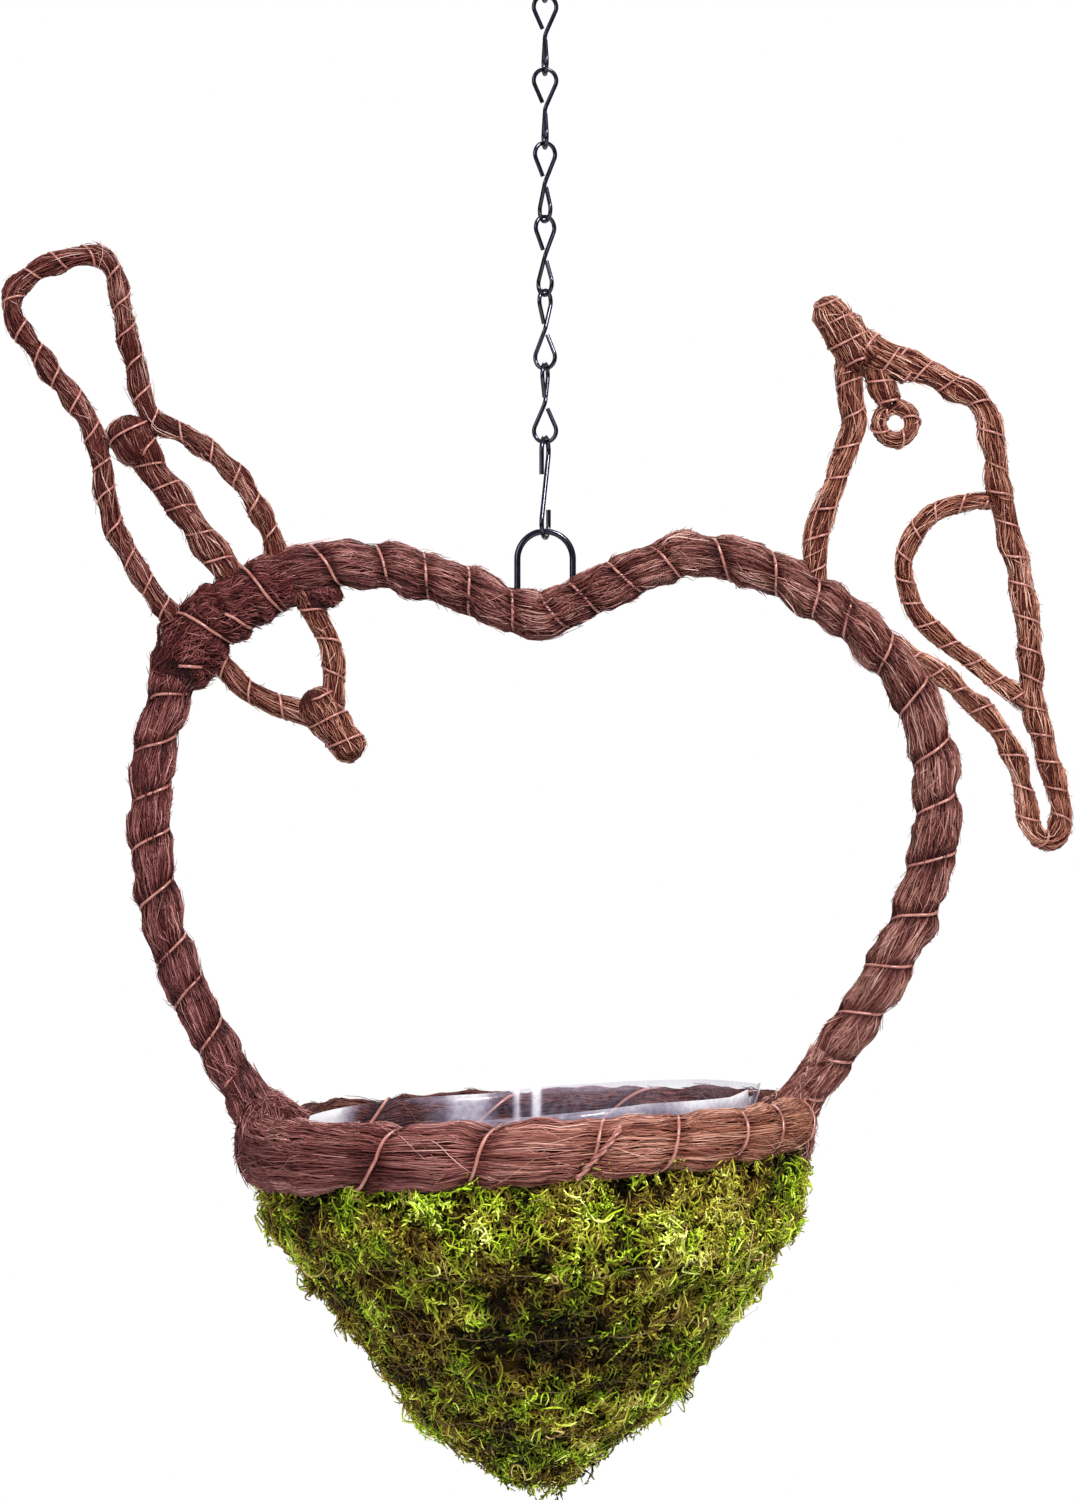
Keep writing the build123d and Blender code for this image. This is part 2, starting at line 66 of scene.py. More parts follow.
# The birds.
LEFT_BIRD = [(-111, 237), (-116, 257), (-129, 278), (-147, 294), (-167, 301), (-173, 322),
             (-179, 351), (-184, 373.5), (-203.5, 370), (-222.5, 362), (-227, 347), (-213.5, 329),
             (-197, 308), (-188, 293), (-186.5, 270), (-176, 241), (-153, 213)]
LEFT_WING = [(-174, 297), (-166, 281), (-157.5, 270), (-148.5, 258), (-139, 245), (-128, 229)]
LEFT_KNOB = [(-168, 285), (-173, 291), (-176, 297), (-177, 304)]
LEFT_CROWN = [(-109, 238), (-96, 219), (-87.5, 200), (-90, 180)]
LEFT_CHIN = [(-147, 212), (-134, 195), (-119, 182), (-93, 176)]
LEFT_BEAK = [(-101, 187), (-90, 174), (-79, 159)]
RIGHT_NECK = [(130, 334), (127.5, 318), (131.5, 299), (121, 273), (113.5, 252), (114, 229)]
RIGHT_BACK = [(132, 334), (148, 328), (167, 319.5), (186.5, 309), (189.5, 290), (193, 264), (201, 236),
              (205, 208), (205.5, 182), (213, 157), (220, 132), (213, 123), (204.5, 128),
              (203, 145), (196, 167), (179, 185), (160, 200.5), (146, 206)]
RIGHT_WING = [(192, 268), (172, 268), (156, 257), (150, 239), (156, 220), (173, 205), (204, 182)]
EYE_X, EYE_HEIGHT, EYE_RADIUS = 148.0, 300.6, 7.8
RIGHT_EYE = [(EYE_X + EYE_RADIUS * math.cos(turn), EYE_HEIGHT + EYE_RADIUS * math.sin(turn))
             for turn in np.radians(np.arange(100, 500, 45))]
EYE_SHANK = [(136, 331), (140, 322), (143, 314), (146, 309)]
RIGHT_HEAD = [(122, 336), (132, 333), (144, 327), (156, 323)]
RIGHT_BEAK = [(136, 326), (126, 339), (116, 353)]

rng = np.random.default_rng(4)
LATTICE = rng.random(4099)           # the values that cloud() reads


# -------------------- mesh code
def unit(rows):
    """Vectors scaled to length 1."""
    return rows / np.maximum(np.linalg.norm(rows, axis=-1, keepdims=True), 1e-12)


def circle(angle):
    """Points on a level circle of radius 1."""
    return np.stack([np.cos(angle), np.sin(angle), 0 * angle], axis=-1)


def cloud(points, size):
    """Smooth noise from 0 to 1, with lumps of a given size."""
    spots = points / size
    cell = np.floor(spots).astype(np.int64)
    part = spots - cell
    part = part * part * (3 - 2 * part)
    total = 0.0
    for corner in np.ndindex(2, 2, 2):
        value = LATTICE[np.mod((cell + corner) @ np.array([127, 311, 743]), len(LATTICE))]
        total = total + value * np.prod(np.where(corner, part, 1 - part), axis=-1)
    return total


def shell(rings, shade=None):
    """Closed skins over rows of rings (strand, ring, point, xyz), each ring turning right-handed."""
    strands, length, around, _ = rings.shape
    base = (np.arange(strands) * length * around)[:, None, None]
    row = (np.arange(length - 1) * around)[None, :, None]
    here = np.arange(around)[None, None, :]
    there = (here + 1) % around
    low, high = base + row, base + row + around
    quads = np.stack([low + here, low + there, high + there, high + here], axis=-1)
    ring = np.arange(around)
    start = base[:, 0] + ring[::-1][None]
    end = base[:, 0] + (length - 1) * around + ring[None]
    tones = np.zeros(rings.shape[:3]) if shade is None else np.repeat(shade[:, :, None], around, axis=2)
    return rings.reshape(-1, 3), [quads.reshape(-1, 4), np.concatenate([start, end])], tones.reshape(-1)


def tubes(paths, radii, sides=3, shade=None):
    """Closed round strands along rows of points (strand, point, xyz), in metres."""
    along = unit(np.gradient(paths, axis=1))
    pick = np.eye(3)[np.argmin(np.abs(along[:, 0]), axis=1)]
    side = unit(np.cross(along[:, 0], pick))
    sides_at = np.empty_like(paths)
    for number in range(paths.shape[1]):
        at = along[:, number]
        side = unit(side - np.sum(side * at, axis=1, keepdims=True) * at)
        sides_at[:, number] = side
    other = np.cross(along, sides_at)
    angle = np.arange(sides) * TURN / sides
    ring = np.cos(angle)[:, None] * sides_at[:, :, None] + np.sin(angle)[:, None] * other[:, :, None]
    return shell(paths[:, :, None] + radii[:, :, None, None] * ring, shade)


def joined(parts):
    """One set of points, faces and shades from several."""
    points, faces, shades, base = [], [], [], 0
    for part_points, part_faces, part_shades in parts:
        points.append(part_points)
        shades.append(part_shades)
        faces += [face + base for face in part_faces]
        base += len(part_points)
    return np.concatenate(points), faces, np.concatenate(shades)


def placed(name, data):
    """A new object in the scene."""
    made = bpy.data.objects.new(name, data)
    bpy.context.scene.collection.objects.link(made)
    return made


def piece(name, part, material, body="basket", stands_for=()):
    """A mesh object with smooth faces that rides on a body."""
    points, faces, shades = part
    mesh = bpy.data.meshes.new(name)
    sizes = np.concatenate([np.full(len(face), face.shape[1]) for face in faces])
    corners = np.concatenate([face.reshape(-1) for face in faces])
    mesh.vertices.add(len(points))
    mesh.vertices.foreach_set("co", points.astype(np.float32).reshape(-1))
    mesh.loops.add(len(corners))
    mesh.loops.foreach_set("vertex_index", corners.astype(np.int32))
    mesh.polygons.add(len(sizes))
    starts = np.concatenate([[0], np.cumsum(sizes)[:-1]])
    mesh.polygons.foreach_set("loop_start", starts.astype(np.int32))
    mesh.polygons.foreach_set("loop_total", sizes.astype(np.int32))
    mesh.polygons.foreach_set("use_smooth", np.ones(len(sizes), bool))
    mesh.update(calc_edges=True)
    mesh.attributes.new("shade", "FLOAT", "POINT").data.foreach_set("value", shades.astype(np.float32))
    mesh.validate()
    made = placed(name, mesh)
    mesh.materials.append(material)
    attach(made, body)
    if stands_for:
        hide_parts(*stands_for)
    return made


def heart_points(outline):
    """Points in metres in the heart's plane, from an outline in mm."""
    return np.array([(x * MM, 0.0, z * MM + RIM_Z) for x, z in outline])


def smooth_line(outline, step=1.0 * MM):
    """Quadratic B-spline along an outline: even distances along it, and the points there, in metres."""
    marks = heart_points(outline)
    middles = (marks[1:-2] + marks[2:-1]) / 2
    starts = np.vstack([marks[:1], middles])
    ends = np.vstack([middles, marks[-1:]])
    share = np.linspace(0, 1, 24, endpoint=False)[:, None, None]
    bends = (1 - share) ** 2 * starts + 2 * share * (1 - share) * marks[1:-1] + share ** 2 * ends
    dense = np.vstack([bends.transpose(1, 0, 2).reshape(-1, 3), marks[-1:]])
    walked = np.concatenate([[0], np.cumsum(np.linalg.norm(np.diff(dense, axis=0), axis=1))])
    far = np.linspace(0, walked[-1], max(4, int(walked[-1] / step)))
    return far, np.stack([np.interp(far, walked, column) for column in dense.T], axis=1)


class Wrapped:
    """A line with a skin of bound fibre: it bulges between the turns of its wire and pinches under
    them. A place on it is a distance along the line in metres and an angle round it. Angle 0 is the
    outer side of a limb or the top of the rim, and 90 degrees faces out."""

    def __init__(self, far, line, first, second, wide, high, turn, hand, pinch, grip, lump,
                 closed=False, steep=0.0):
        self.far, self.line, self.first, self.second = far, line, first, second
        self.wide, self.high, self.turn = wide, high, turn
        self.hand, self.pinch, self.grip, self.closed, self.steep = hand, pinch, grip, closed, steep
        self.length = far[-1]
        self.waves = [(lump * rng.uniform(0.5, 1.0) / (1.5 + around), int(rng.integers(few, many)),
                       around, rng.uniform(0, 6.28)) for around, few, many in self.kinds()]

    def kinds(self):
        """For each wave of the skin: how many lie round the limb, and the range of how many along it."""
        full = max(2, int(self.length / (36 * MM)))
        return [(0, full, full * 2), (1, full, full * 2), (1, full * 2, full * 3), (2, full, full * 3),
                (3, full, full * 3), (4, full, full * 4)]

    def read(self, far, row):
        """Values or points of a row, read at distances along the line."""
        if self.closed:
            far = np.mod(far, self.length)
        if row.ndim == 1:
            return np.interp(far, self.far, row)
        return np.stack([np.interp(far, self.far, column) for column in row.T], axis=-1)

    def wound(self, turns):
        """How far the wire has got after some turns: a steep wire advances mostly at the back."""
        return turns - self.steep * np.sin(TURN * turns) / TURN

    def gap(self, far, angle):
        """Share of a turn to the nearest turn of the wire."""
        turns = self.wound(self.hand * (angle - math.pi / 2) / TURN)
        turn = self.read(far, self.turn) - turns
        return np.abs(turn - np.round(turn))

    def swell(self, far, angle):
        """How much the skin bulges or pinches, as a share of the limb's radius."""
        wave = 1.0
        for size, along, around, start in self.waves:
            wave = wave + size * np.sin(TURN * along * far / self.length + around * angle + start)
        return wave - self.pinch * np.exp(-(self.gap(far, angle) / self.grip) ** 2)

    def at(self, far, angle, lift=0.0):
        """Points on the skin, or lifted off it."""
        swell = self.swell(far, angle)
        wide = self.read(far, self.wide) * swell + lift
        high = self.read(far, self.high) * swell + lift
        return (self.read(far, self.line) + (wide * np.cos(angle))[..., None] * self.read(far, self.first)
                + (high * np.sin(angle))[..., None] * self.read(far, self.second))

    def core(self, inset=0.6 * MM, around=24, step=1.6 * MM):
        """The closed skin under the loose strands."""
        rows = max(6, int(self.length / step))
        far = np.linspace(0, self.length, rows)[:, None]
        angle = np.arange(around)[None] * TURN / around
        rings = self.at(far + 0 * angle, angle + 0 * far, -inset)[None]
        if not self.closed:
            return shell(rings)
        points, faces, shades = shell(rings[:, :-1])
        last = (rows - 2) * around + np.arange(around)
        first = np.arange(around)
        seam = np.stack([last, np.roll(last, -1), np.roll(first, -1), first], axis=1)
        return points, [faces[0], seam], shades

    def strands(self, count, length, width, lean=0.06, spread=0.10, lift=0.35 * MM, stray=0.05,
                flare=2.2 * MM, points=9, reach=(0.0, 1.0), wave=0.05):
        """Fibres that lie on the skin, over a reach of the limb. A few stray off it at one end."""
        each = (count, 1)
        share = np.linspace(0, 1, points)[None]
        size = length * rng.uniform(0.5, 1.5, each)
        heading = rng.normal(lean, spread, each)
        span = size * np.cos(heading)
        low = rng.uniform(reach[0] * self.length, reach[1] * self.length, each) - span / 2
        high = low + span
        if not self.closed:
            low, high = np.maximum(low, 0), np.minimum(high, self.length)
        far = low + share * (high - low)
        angle = rng.uniform(0.0, TURN, each) + 0 * share
        radius = (self.read(far, self.wide) + self.read(far, self.high)) / 2
        angle = angle + (share - 0.5) * size * np.sin(heading) / radius
        bend = rng.normal(0, wave, each)
        angle = angle + bend * np.sin(share * rng.uniform(3, 7, each) + heading * 9)
        rise = rng.uniform(-0.6, 1.0, each) * lift
        rise = rise * (1 - np.exp(-(self.gap(far, angle) / 0.09) ** 2))
        loose = (rng.random(each) < stray) * rng.uniform(0.2, 1.0, each) * flare
        rise = rise + loose * share ** 3
        taper = 0.35 + 0.65 * np.sin(math.pi * (0.08 + 0.84 * share))
        thick = width * rng.uniform(0.6, 1.3, each) * taper
        hank = cloud(np.stack([far / (20 * MM), angle * radius / (2.6 * MM), 0 * far], axis=-1), 1.0)
        # Painted shade and light: strands sunk into the skin are darker and lifted ones lighter, and each
        # strand is painted darker in the pinch under every turn of the wire. The random part and the hank
        # cloud are the fibre's own tone.
        shade = 0.62 * rng.random(each) + 0.38 * hank - 0.02 + 0.12 * rise / lift
        shade = shade - 0.42 * np.exp(-(self.gap(far, angle) / (self.grip * 0.9)) ** 2)
        return tubes(self.at(far, angle, rise), thick, shade=shade)

    def wire(self, radius, steps=20, sides=6):
        """The binding wire in one length, with some steps to a turn. On a closed line its ends meet."""
        count = max(8, int((self.turn[-1] - self.turn[0]) * steps))
        turns = np.linspace(self.turn[0], self.turn[-1], count)
        angle = math.pi / 2 + self.hand * TURN * turns
        path = self.at(np.interp(self.wound(turns), self.turn, self.far), angle, radius * 1.5)
        if self.closed:
            path[-1] = path[0] + (path[-1] - path[0]) * 0.5
        return tubes(path[None], np.full((1, count), radius), sides)


def wrap_piece(name, parts, material, nodes=()):
    piece(name, joined(parts), material, stands_for=nodes)


def wire_piece(name, parts, nodes=()):
    piece(name, joined(parts), binding, stands_for=nodes)


def limb(outline, radii, pitch=17.0, hand=1, turns=(), pinch=0.13, grip=0.10, lump=0.10, blunt=(0, 0)):
    """A wrapped wire in the heart's plane. Its radii in mm are spread evenly along it, and blunt rounds
    each end over a length in mm. Its wire passes the places in turns, and then turns at each pitch."""
    far, line = smooth_line(outline)
    along = unit(np.gradient(line, axis=0))
    first = np.stack([-along[:, 2], 0 * far, along[:, 0]], axis=1)
    second = np.tile(FRONT, (len(far), 1))
    radius = np.interp(far / far[-1], np.linspace(0, 1, len(radii)), radii) * MM
    for from_end, rounding in zip((far, far[-1] - far), blunt):
        if rounding:
            run = np.clip(from_end / (rounding * MM), 0.02, 1)
            radius = radius * np.sqrt(np.clip(1 - (1 - run) ** 2, 0, 1))
    if turns:
        places = [far[np.argmin(np.linalg.norm(line - mark, axis=1))] for mark in heart_points(turns)]
        while places[-1] < far[-1]:
            places.append(places[-1] + pitch * MM * rng.uniform(0.88, 1.12))
        places.insert(0, places[0] - pitch * MM)
        steps = np.arange(-1, len(places) - 1)
    else:
        count = max(2, int(far[-1] / (pitch * MM)) + 2)
        places = np.cumsum(np.full(count, pitch * MM) * rng.uniform(0.85, 1.15, count)) - pitch * MM * 0.6
        steps = np.arange(count)
    turn = np.interp(far, places, steps)
    return Wrapped(far, line, first, second, radius, radius, turn, hand, pinch, grip, lump)


# -------------------- materials
FIBRE_STOPS = (0.12, 0.35, 0.55, 0.75, 0.95)         # places of the tones of fibre on its ramp


def nodes_of(name):
    """A new material, its node tree and its main shader."""
    material = bpy.data.materials.new(name)
    material.use_nodes = True
    tree = material.node_tree
    return material, tree, tree.nodes["Principled BSDF"]


def set_up(node, **values):
    """A node with its settings or its inputs given by name, where a low line stands for a space."""
    for key, value in values.items():
        if hasattr(node, key):
            setattr(node, key, value)
        else:
            node.inputs[key.replace("_", " ")].default_value = value
    return node


def add(tree, kind, **values):
    return set_up(tree.nodes.new(kind), **values)


def ramp(tree, source, stops):
    """Colours from stops, each a place from 0 to 1 and an sRGB colour from 0 to 255."""
    node = tree.nodes.new("ShaderNodeValToRGB")
    band = node.color_ramp
    while len(band.elements) < len(stops):
        band.elements.new(0.5)
    for element, (place, colour) in zip(band.elements, stops):
        element.position = place
        element.color = (*[(channel / 255) ** 2.2 for channel in colour], 1)
    tree.links.new(source, node.inputs["Fac"])
    return node.outputs["Color"]


def noise(tree, scale, detail=3.0, stretch=None):
    """Noise over the object, stretched along its axes if asked."""
    place = add(tree, "ShaderNodeTexCoord").outputs["Object"]
    if stretch:
        mapping = add(tree, "ShaderNodeMapping", Scale=stretch)
        tree.links.new(place, mapping.inputs["Vector"])
        place = mapping.outputs["Vector"]
    node = add(tree, "ShaderNodeTexNoise", Scale=scale, Detail=detail)
    tree.links.new(place, node.inputs["Vector"])
    return node.outputs["Fac"]


def mesh_shade(tree, scale, detail, share):
    """The shade that the mesh carries, with a share of noise mixed in."""
    node = add(tree, "ShaderNodeMix", data_type="FLOAT", Factor=share)
    own = add(tree, "ShaderNodeAttribute", attribute_name="shade").outputs["Fac"]
    tree.links.new(own, node.inputs[2])
    tree.links.new(noise(tree, scale, detail), node.inputs[3])
    return node.outputs[0]


def ranged(tree, source, low, high, to_low=0.0, to_high=1.0):
    """A value carried from one range to another."""
    node = add(tree, "ShaderNodeMapRange", From_Min=low, From_Max=high, To_Min=to_low, To_Max=to_high)
    tree.links.new(source, node.inputs["Value"])
    return node.outputs["Result"]


def two_toned(tree, factor, shade, places, tones, other_tones):
    """The tones of one ramp where the factor is 0, and of the other where it is 1."""
    node = add(tree, "ShaderNodeMix", data_type="RGBA")
    tree.links.new(factor, node.inputs["Factor"])
    tree.links.new(ramp(tree, shade, list(zip(places, tones))), node.inputs[6])
    tree.links.new(ramp(tree, shade, list(zip(places, other_tones))), node.inputs[7])
    return node.outputs[2]


def bumped(tree, shader, height, strength, distance):
    node = add(tree, "ShaderNodeBump", Strength=strength, Distance=distance)
    tree.links.new(height, node.inputs["Height"])
    tree.links.new(node.outputs["Normal"], shader.inputs["Normal"])


def fibre(name, left_tones, right_tones, left=-0.12, right=0.10, places=FIBRE_STOPS):
    """Dry plant fibre, whose tones drift between two places across the object."""
    material, tree, shader = nodes_of(name)
    split = add(tree, "ShaderNodeSeparateXYZ")
    tree.links.new(add(tree, "ShaderNodeTexCoord").outputs["Object"], split.inputs[0])
    drift = ranged(tree, split.outputs["X"], left, right)
    shade = mesh_shade(tree, 60.0, 3.0, 0.25)
    colour = two_toned(tree, drift, shade, places, left_tones, right_tones)
    tree.links.new(colour, shader.inputs["Base Color"])
    set_up(shader, Roughness=0.55, Specular_IOR_Level=0.22)
    bumped(tree, shader, noise(tree, 900.0, 2.0), 0.3, 0.0004)
    return material


def plain(name, stops, rough, metallic=0.0, scale=200.0, specular=0.5, coat=0.0, bump=0.12):
    """A material of one kind of tone, with fine spots."""
    material, tree, shader = nodes_of(name)
    spots = noise(tree, scale, 4.0)
    tree.links.new(ramp(tree, spots, stops), shader.inputs["Base Color"])
    set_up(shader, Roughness=rough, Metallic=metallic, Specular_IOR_Level=specular, Coat_Weight=coat,
           Coat_Roughness=0.12)
    bumped(tree, shader, spots, bump, 0.0003)
    return material


def moss_material(name, places, tones, other_tones):
    """Moss, whose hue changes from clump to clump."""
    material, tree, shader = nodes_of(name)
    patch = ranged(tree, noise(tree, 55.0, 3.0), 0.40, 0.58)
    colour = two_toned(tree, patch, mesh_shade(tree, 300.0, 2.0, 0.2), places, tones, other_tones)
    tree.links.new(colour, shader.inputs["Base Color"])
    set_up(shader, Roughness=0.6, Specular_IOR_Level=0.15)
    return material


def film_material(name):
    """Clear plastic film: the mesh says where it is creased and milky."""
    material, tree, shader = nodes_of(name)
    milk = mesh_shade(tree, 400.0, 2.0, 0.25)
    tree.links.new(ramp(tree, milk, FILM_TONES), shader.inputs["Base Color"])
    tree.links.new(ranged(tree, milk, 0.22, 0.95, 0.02, 0.60), shader.inputs["Alpha"])
    set_up(shader, Roughness=0.16, Specular_IOR_Level=0.5)
    bumped(tree, shader, noise(tree, 60.0, 2.0, (1.0, 1.0, 0.3)), 0.35, 0.003)
    return material


# Tones of fibre and moss, from dark to light.
HOOP_LEFT = [(30, 2, 4), (66, 26, 26), (99, 52, 50), (143, 93, 90), (186, 138, 132)]
HOOP_RIGHT = [(36, 8, 8), (81, 39, 36), (117, 71, 64), (162, 118, 108), (202, 168, 156)]
BIRD_LEFT = [(36, 6, 6), (74, 30, 27), (105, 55, 49), (152, 110, 101), (190, 158, 152)]
BIRD_RIGHT = [(52, 14, 8), (112, 62, 48), (150, 98, 80), (194, 146, 128), (226, 190, 176)]
RIM_LEFT = [(44, 12, 14), (96, 48, 46), (130, 78, 74), (166, 114, 108), (208, 164, 156)]
RIM_RIGHT = [(58, 18, 10), (118, 66, 48), (152, 98, 76), (186, 136, 112), (220, 182, 156)]
# The back half of the rim gets darker tones than its front: painted shade.
RIM_BACK_PAINTED_SHADE = [(24, 4, 4), (56, 24, 22), (84, 46, 40), (114, 72, 62), (150, 106, 92)]
DARK_STOPS = (0.12, 0.40, 0.65, 0.95)
DARK_TONES = [(26, 2, 4), (68, 24, 26), (108, 56, 54), (160, 108, 102)]
MOSS_STOPS = (0.06, 0.20, 0.33, 0.46, 0.58, 0.70, 0.84, 0.96)
GREEN_MOSS = [(4, 4, 0), (18, 19, 0), (56, 60, 8), (94, 108, 20), (122, 146, 22), (158, 188, 34),
              (194, 222, 66), (228, 242, 130)]
OLIVE_MOSS = [(8, 4, 0), (32, 20, 2), (78, 58, 18), (112, 92, 34), (134, 122, 40), (164, 160, 50),
              (198, 200, 76), (230, 230, 138)]
STEM_STOPS = (0.15, 0.45, 0.7, 0.95)
STEM_TONES = [(54, 30, 12), (110, 78, 38), (152, 122, 66), (204, 178, 116)]

# Tones of the plainer materials, each with its own places.
UNDER_TONES = [(0.2, (30, 6, 6)), (0.5, (56, 22, 18)), (0.85, (86, 42, 34))]
MOSS_BELOW = [(0.35, (26, 18, 4)), (0.6, (50, 42, 10)), (0.8, (74, 68, 20))]
FILM_TONES = [(0.2, (130, 122, 146)), (0.5, (180, 172, 196)), (0.9, (248, 248, 252))]
WIRE_TONES = [(0.3, (124, 74, 66)), (0.7, (166, 112, 102))]
STEEL_TONES = [(0.35, (20, 19, 31)), (0.65, (38, 37, 54))]
CORE_TONES = [(0.3, (70, 66, 62)), (0.7, (104, 98, 90))]
THREAD_TONES = [(0.3, (84, 64, 36)), (0.7, (116, 92, 56))]

hoop_fibre = fibre("hoop_fibre", HOOP_LEFT, HOOP_RIGHT)
left_fibre = fibre("left_bird_fibre", BIRD_LEFT, BIRD_RIGHT, left=-0.165, right=-0.065)
right_fibre = fibre("right_bird_fibre", BIRD_LEFT, BIRD_RIGHT)
rim_fibre = fibre("rim_fibre", RIM_LEFT, RIM_RIGHT, left=-0.05, right=0.12)
back_fibre_painted_shade = fibre("rim_fibre_back_painted_shade", RIM_BACK_PAINTED_SHADE, RIM_BACK_PAINTED_SHADE)
dark_fibre = fibre("dark_fibre", DARK_TONES, DARK_TONES, places=DARK_STOPS)
under_fibre = plain("fibre_below", UNDER_TONES, rough=0.85, scale=600.0, specular=0.15)
binding = plain("binding_wire", WIRE_TONES, rough=0.32, specular=0.6)
steel = plain("dark_steel", STEEL_TONES, rough=0.24, metallic=0.75, scale=160.0, coat=0.5, bump=0.03)
core_steel = plain("core_steel", CORE_TONES, rough=0.45, metallic=0.8, scale=300.0)
thread = plain("thread", THREAD_TONES, rough=0.7)
moss_frond = moss_material("moss_frond", MOSS_STOPS, GREEN_MOSS, OLIVE_MOSS)
moss_stem = moss_material("moss_stem", STEM_STOPS, STEM_TONES, STEM_TONES)
moss_below = plain("moss_below", MOSS_BELOW, rough=0.95, scale=160.0, specular=0.1)
clear_film = film_material("clear_film")

STEEL_NODES = ["top_s_hook", "lower_s_hook", "hanging_staple", *[f"chain_link_{n}" for n in range(1, 7)]]
for node_name in (*STEEL_NODES, "cone_wire_frame"):
    for material_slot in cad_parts[node_name].material_slots:
        material_slot.material = steel if node_name in STEEL_NODES else core_steel

# -------------------- hoop
HOOP_RADII = [8.0, 8.8, 9.0, 9.6, 10.0, 9.8, 9.4, 9.4, 10.0, 9.8, 8.4]
HOOP_WIRE = 0.68 * MM
hoop = limb(HOOP, HOOP_RADII, pitch=19.0, turns=HOOP_TURNS, pinch=0.26, grip=0.15, lump=0.12)
wrap_piece("hoop_wrap", [hoop.core()], under_fibre, ["hoop_core_wire"])
for number, side_name in enumerate(("left", "top", "right")):
    reach = (number / 3, (number + 1) / 3)
    wraps = [
        hoop.strands(count=2700, length=30 * MM, width=0.25 * MM, reach=reach, points=8),
        hoop.strands(count=500, length=18 * MM, width=0.20 * MM, spread=0.35, lift=0.6 * MM, stray=0.25,
                     flare=1.7 * MM, reach=reach),
        hoop.strands(count=750, length=5 * MM, width=0.16 * MM, spread=0.8, lift=0.7 * MM, stray=1.0,
                     flare=1.8 * MM, points=6, reach=reach)]
    wrap_piece(f"hoop_strands_{side_name}", wraps, hoop_fibre, [f"hoop_fibre_{side_name}"])
wire_piece("hoop_binding", [hoop.wire(HOOP_WIRE)], ["hoop_binding_wire"])

# -------------------- birds
BIRD_WIRE = 0.54 * MM
STRANDS_PER_MM2 = 0.72               # for each mm2 of a limb's length times its radius


def bird(name, limbs, tones, nodes):
    """The skins, strands and binding wires of one bird."""
    skins, hairs, wires = [], [], []
    for wrapped in limbs:
        area = wrapped.length * float(np.mean(wrapped.wide))
        count = int(area / MM ** 2 * STRANDS_PER_MM2)
        skins.append(wrapped.core(inset=0.45 * MM, around=18))
        hairs.append(wrapped.strands(count, length=22 * MM, width=0.22 * MM, lift=0.25 * MM, points=7))
        hairs.append(wrapped.strands(count // 4, length=15 * MM, width=0.20 * MM, spread=0.4, lift=0.5 * MM,
                                     stray=0.3, flare=1.8 * MM, points=7))
        hairs.append(wrapped.strands(count // 4, length=4.5 * MM, width=0.16 * MM, spread=0.8,
                                     lift=0.6 * MM, stray=1.0, flare=1.7 * MM, points=5))
        wires.append(wrapped.wire(BIRD_WIRE))
    wrap_piece(f"{name}_wrap", skins, under_fibre, [f"{name}_core_wire"])
    wrap_piece(f"{name}_strands", hairs, tones, [f"{name}_{node}_fibre" for node in nodes])
    wire_piece(f"{name}_binding", wires, [f"{name}_binding_wire"])


# Each limb: its outline, its radii in mm, the pitch of its wire in mm and which way the wire turns.
bird("left_bird", [
    limb(LEFT_BIRD, [4.6, 4.2, 4.3, 4.2, 4.4, 4.0, 4.2, 4.4, 4.0, 4.6, 4.2, 4.3, 4.2, 4.6], 13.5, 1,
         pinch=0.20, lump=0.20),
    limb(LEFT_WING, [8.2, 6.4, 5.8, 6.0, 6.2, 6.4], 12.5, -1, pinch=0.18, lump=0.20),
    limb(LEFT_KNOB, [7.2, 8.8, 9.6, 9.8, 9.2], 12.0, 1, pinch=0.05, lump=0.06, blunt=(2, 8)),
    limb(LEFT_CROWN, [4.7, 4.4, 4.5, 4.9], 13.0, -1, pinch=0.17),
    limb(LEFT_CHIN, [4.7, 4.3, 4.5, 5.0], 13.5, 1, pinch=0.17),
    limb(LEFT_BEAK, [6.5, 9.4, 8.6, 7.4, 7.2, 7.2], 11.0, -1, pinch=0.09, blunt=(3, 5)),
], left_fibre, ("tail", "back", "belly", "wing", "crown", "chin", "beak"))

bird("right_bird", [
    limb(RIGHT_NECK, [6.4, 4.9, 4.9, 4.7, 4.8, 4.7], 13.0, 1, pinch=0.20, lump=0.20),
    limb(RIGHT_BACK, [6.8, 5.8, 5.1, 5.1, 4.9, 5.3, 4.9, 4.9, 4.5, 4.5, 4.1, 4.3, 4.3, 4.5], 13.0, -1,
         pinch=0.20, lump=0.20),
    limb(RIGHT_WING, [3.9, 3.7, 3.9, 3.7, 3.8], 11.5, -1, pinch=0.20, lump=0.20),
    limb(RIGHT_EYE, [3.3, 3.2, 3.1, 3.2, 3.3], 10.0, -1, lump=0.06),
    limb(EYE_SHANK, [5.2, 5.2, 5.8, 5.0], 9.0, -1, lump=0.06),
    limb(RIGHT_HEAD, [6.0, 8.2, 7.4, 5.6], 11.0, -1, pinch=0.06, blunt=(5, 3)),
    limb(RIGHT_BEAK, [10.5, 8.8, 6.4], 9.0, -1, blunt=(0, 6)),
], right_fibre, ("neck", "back", "tail", "wing", "eye", "beak"))

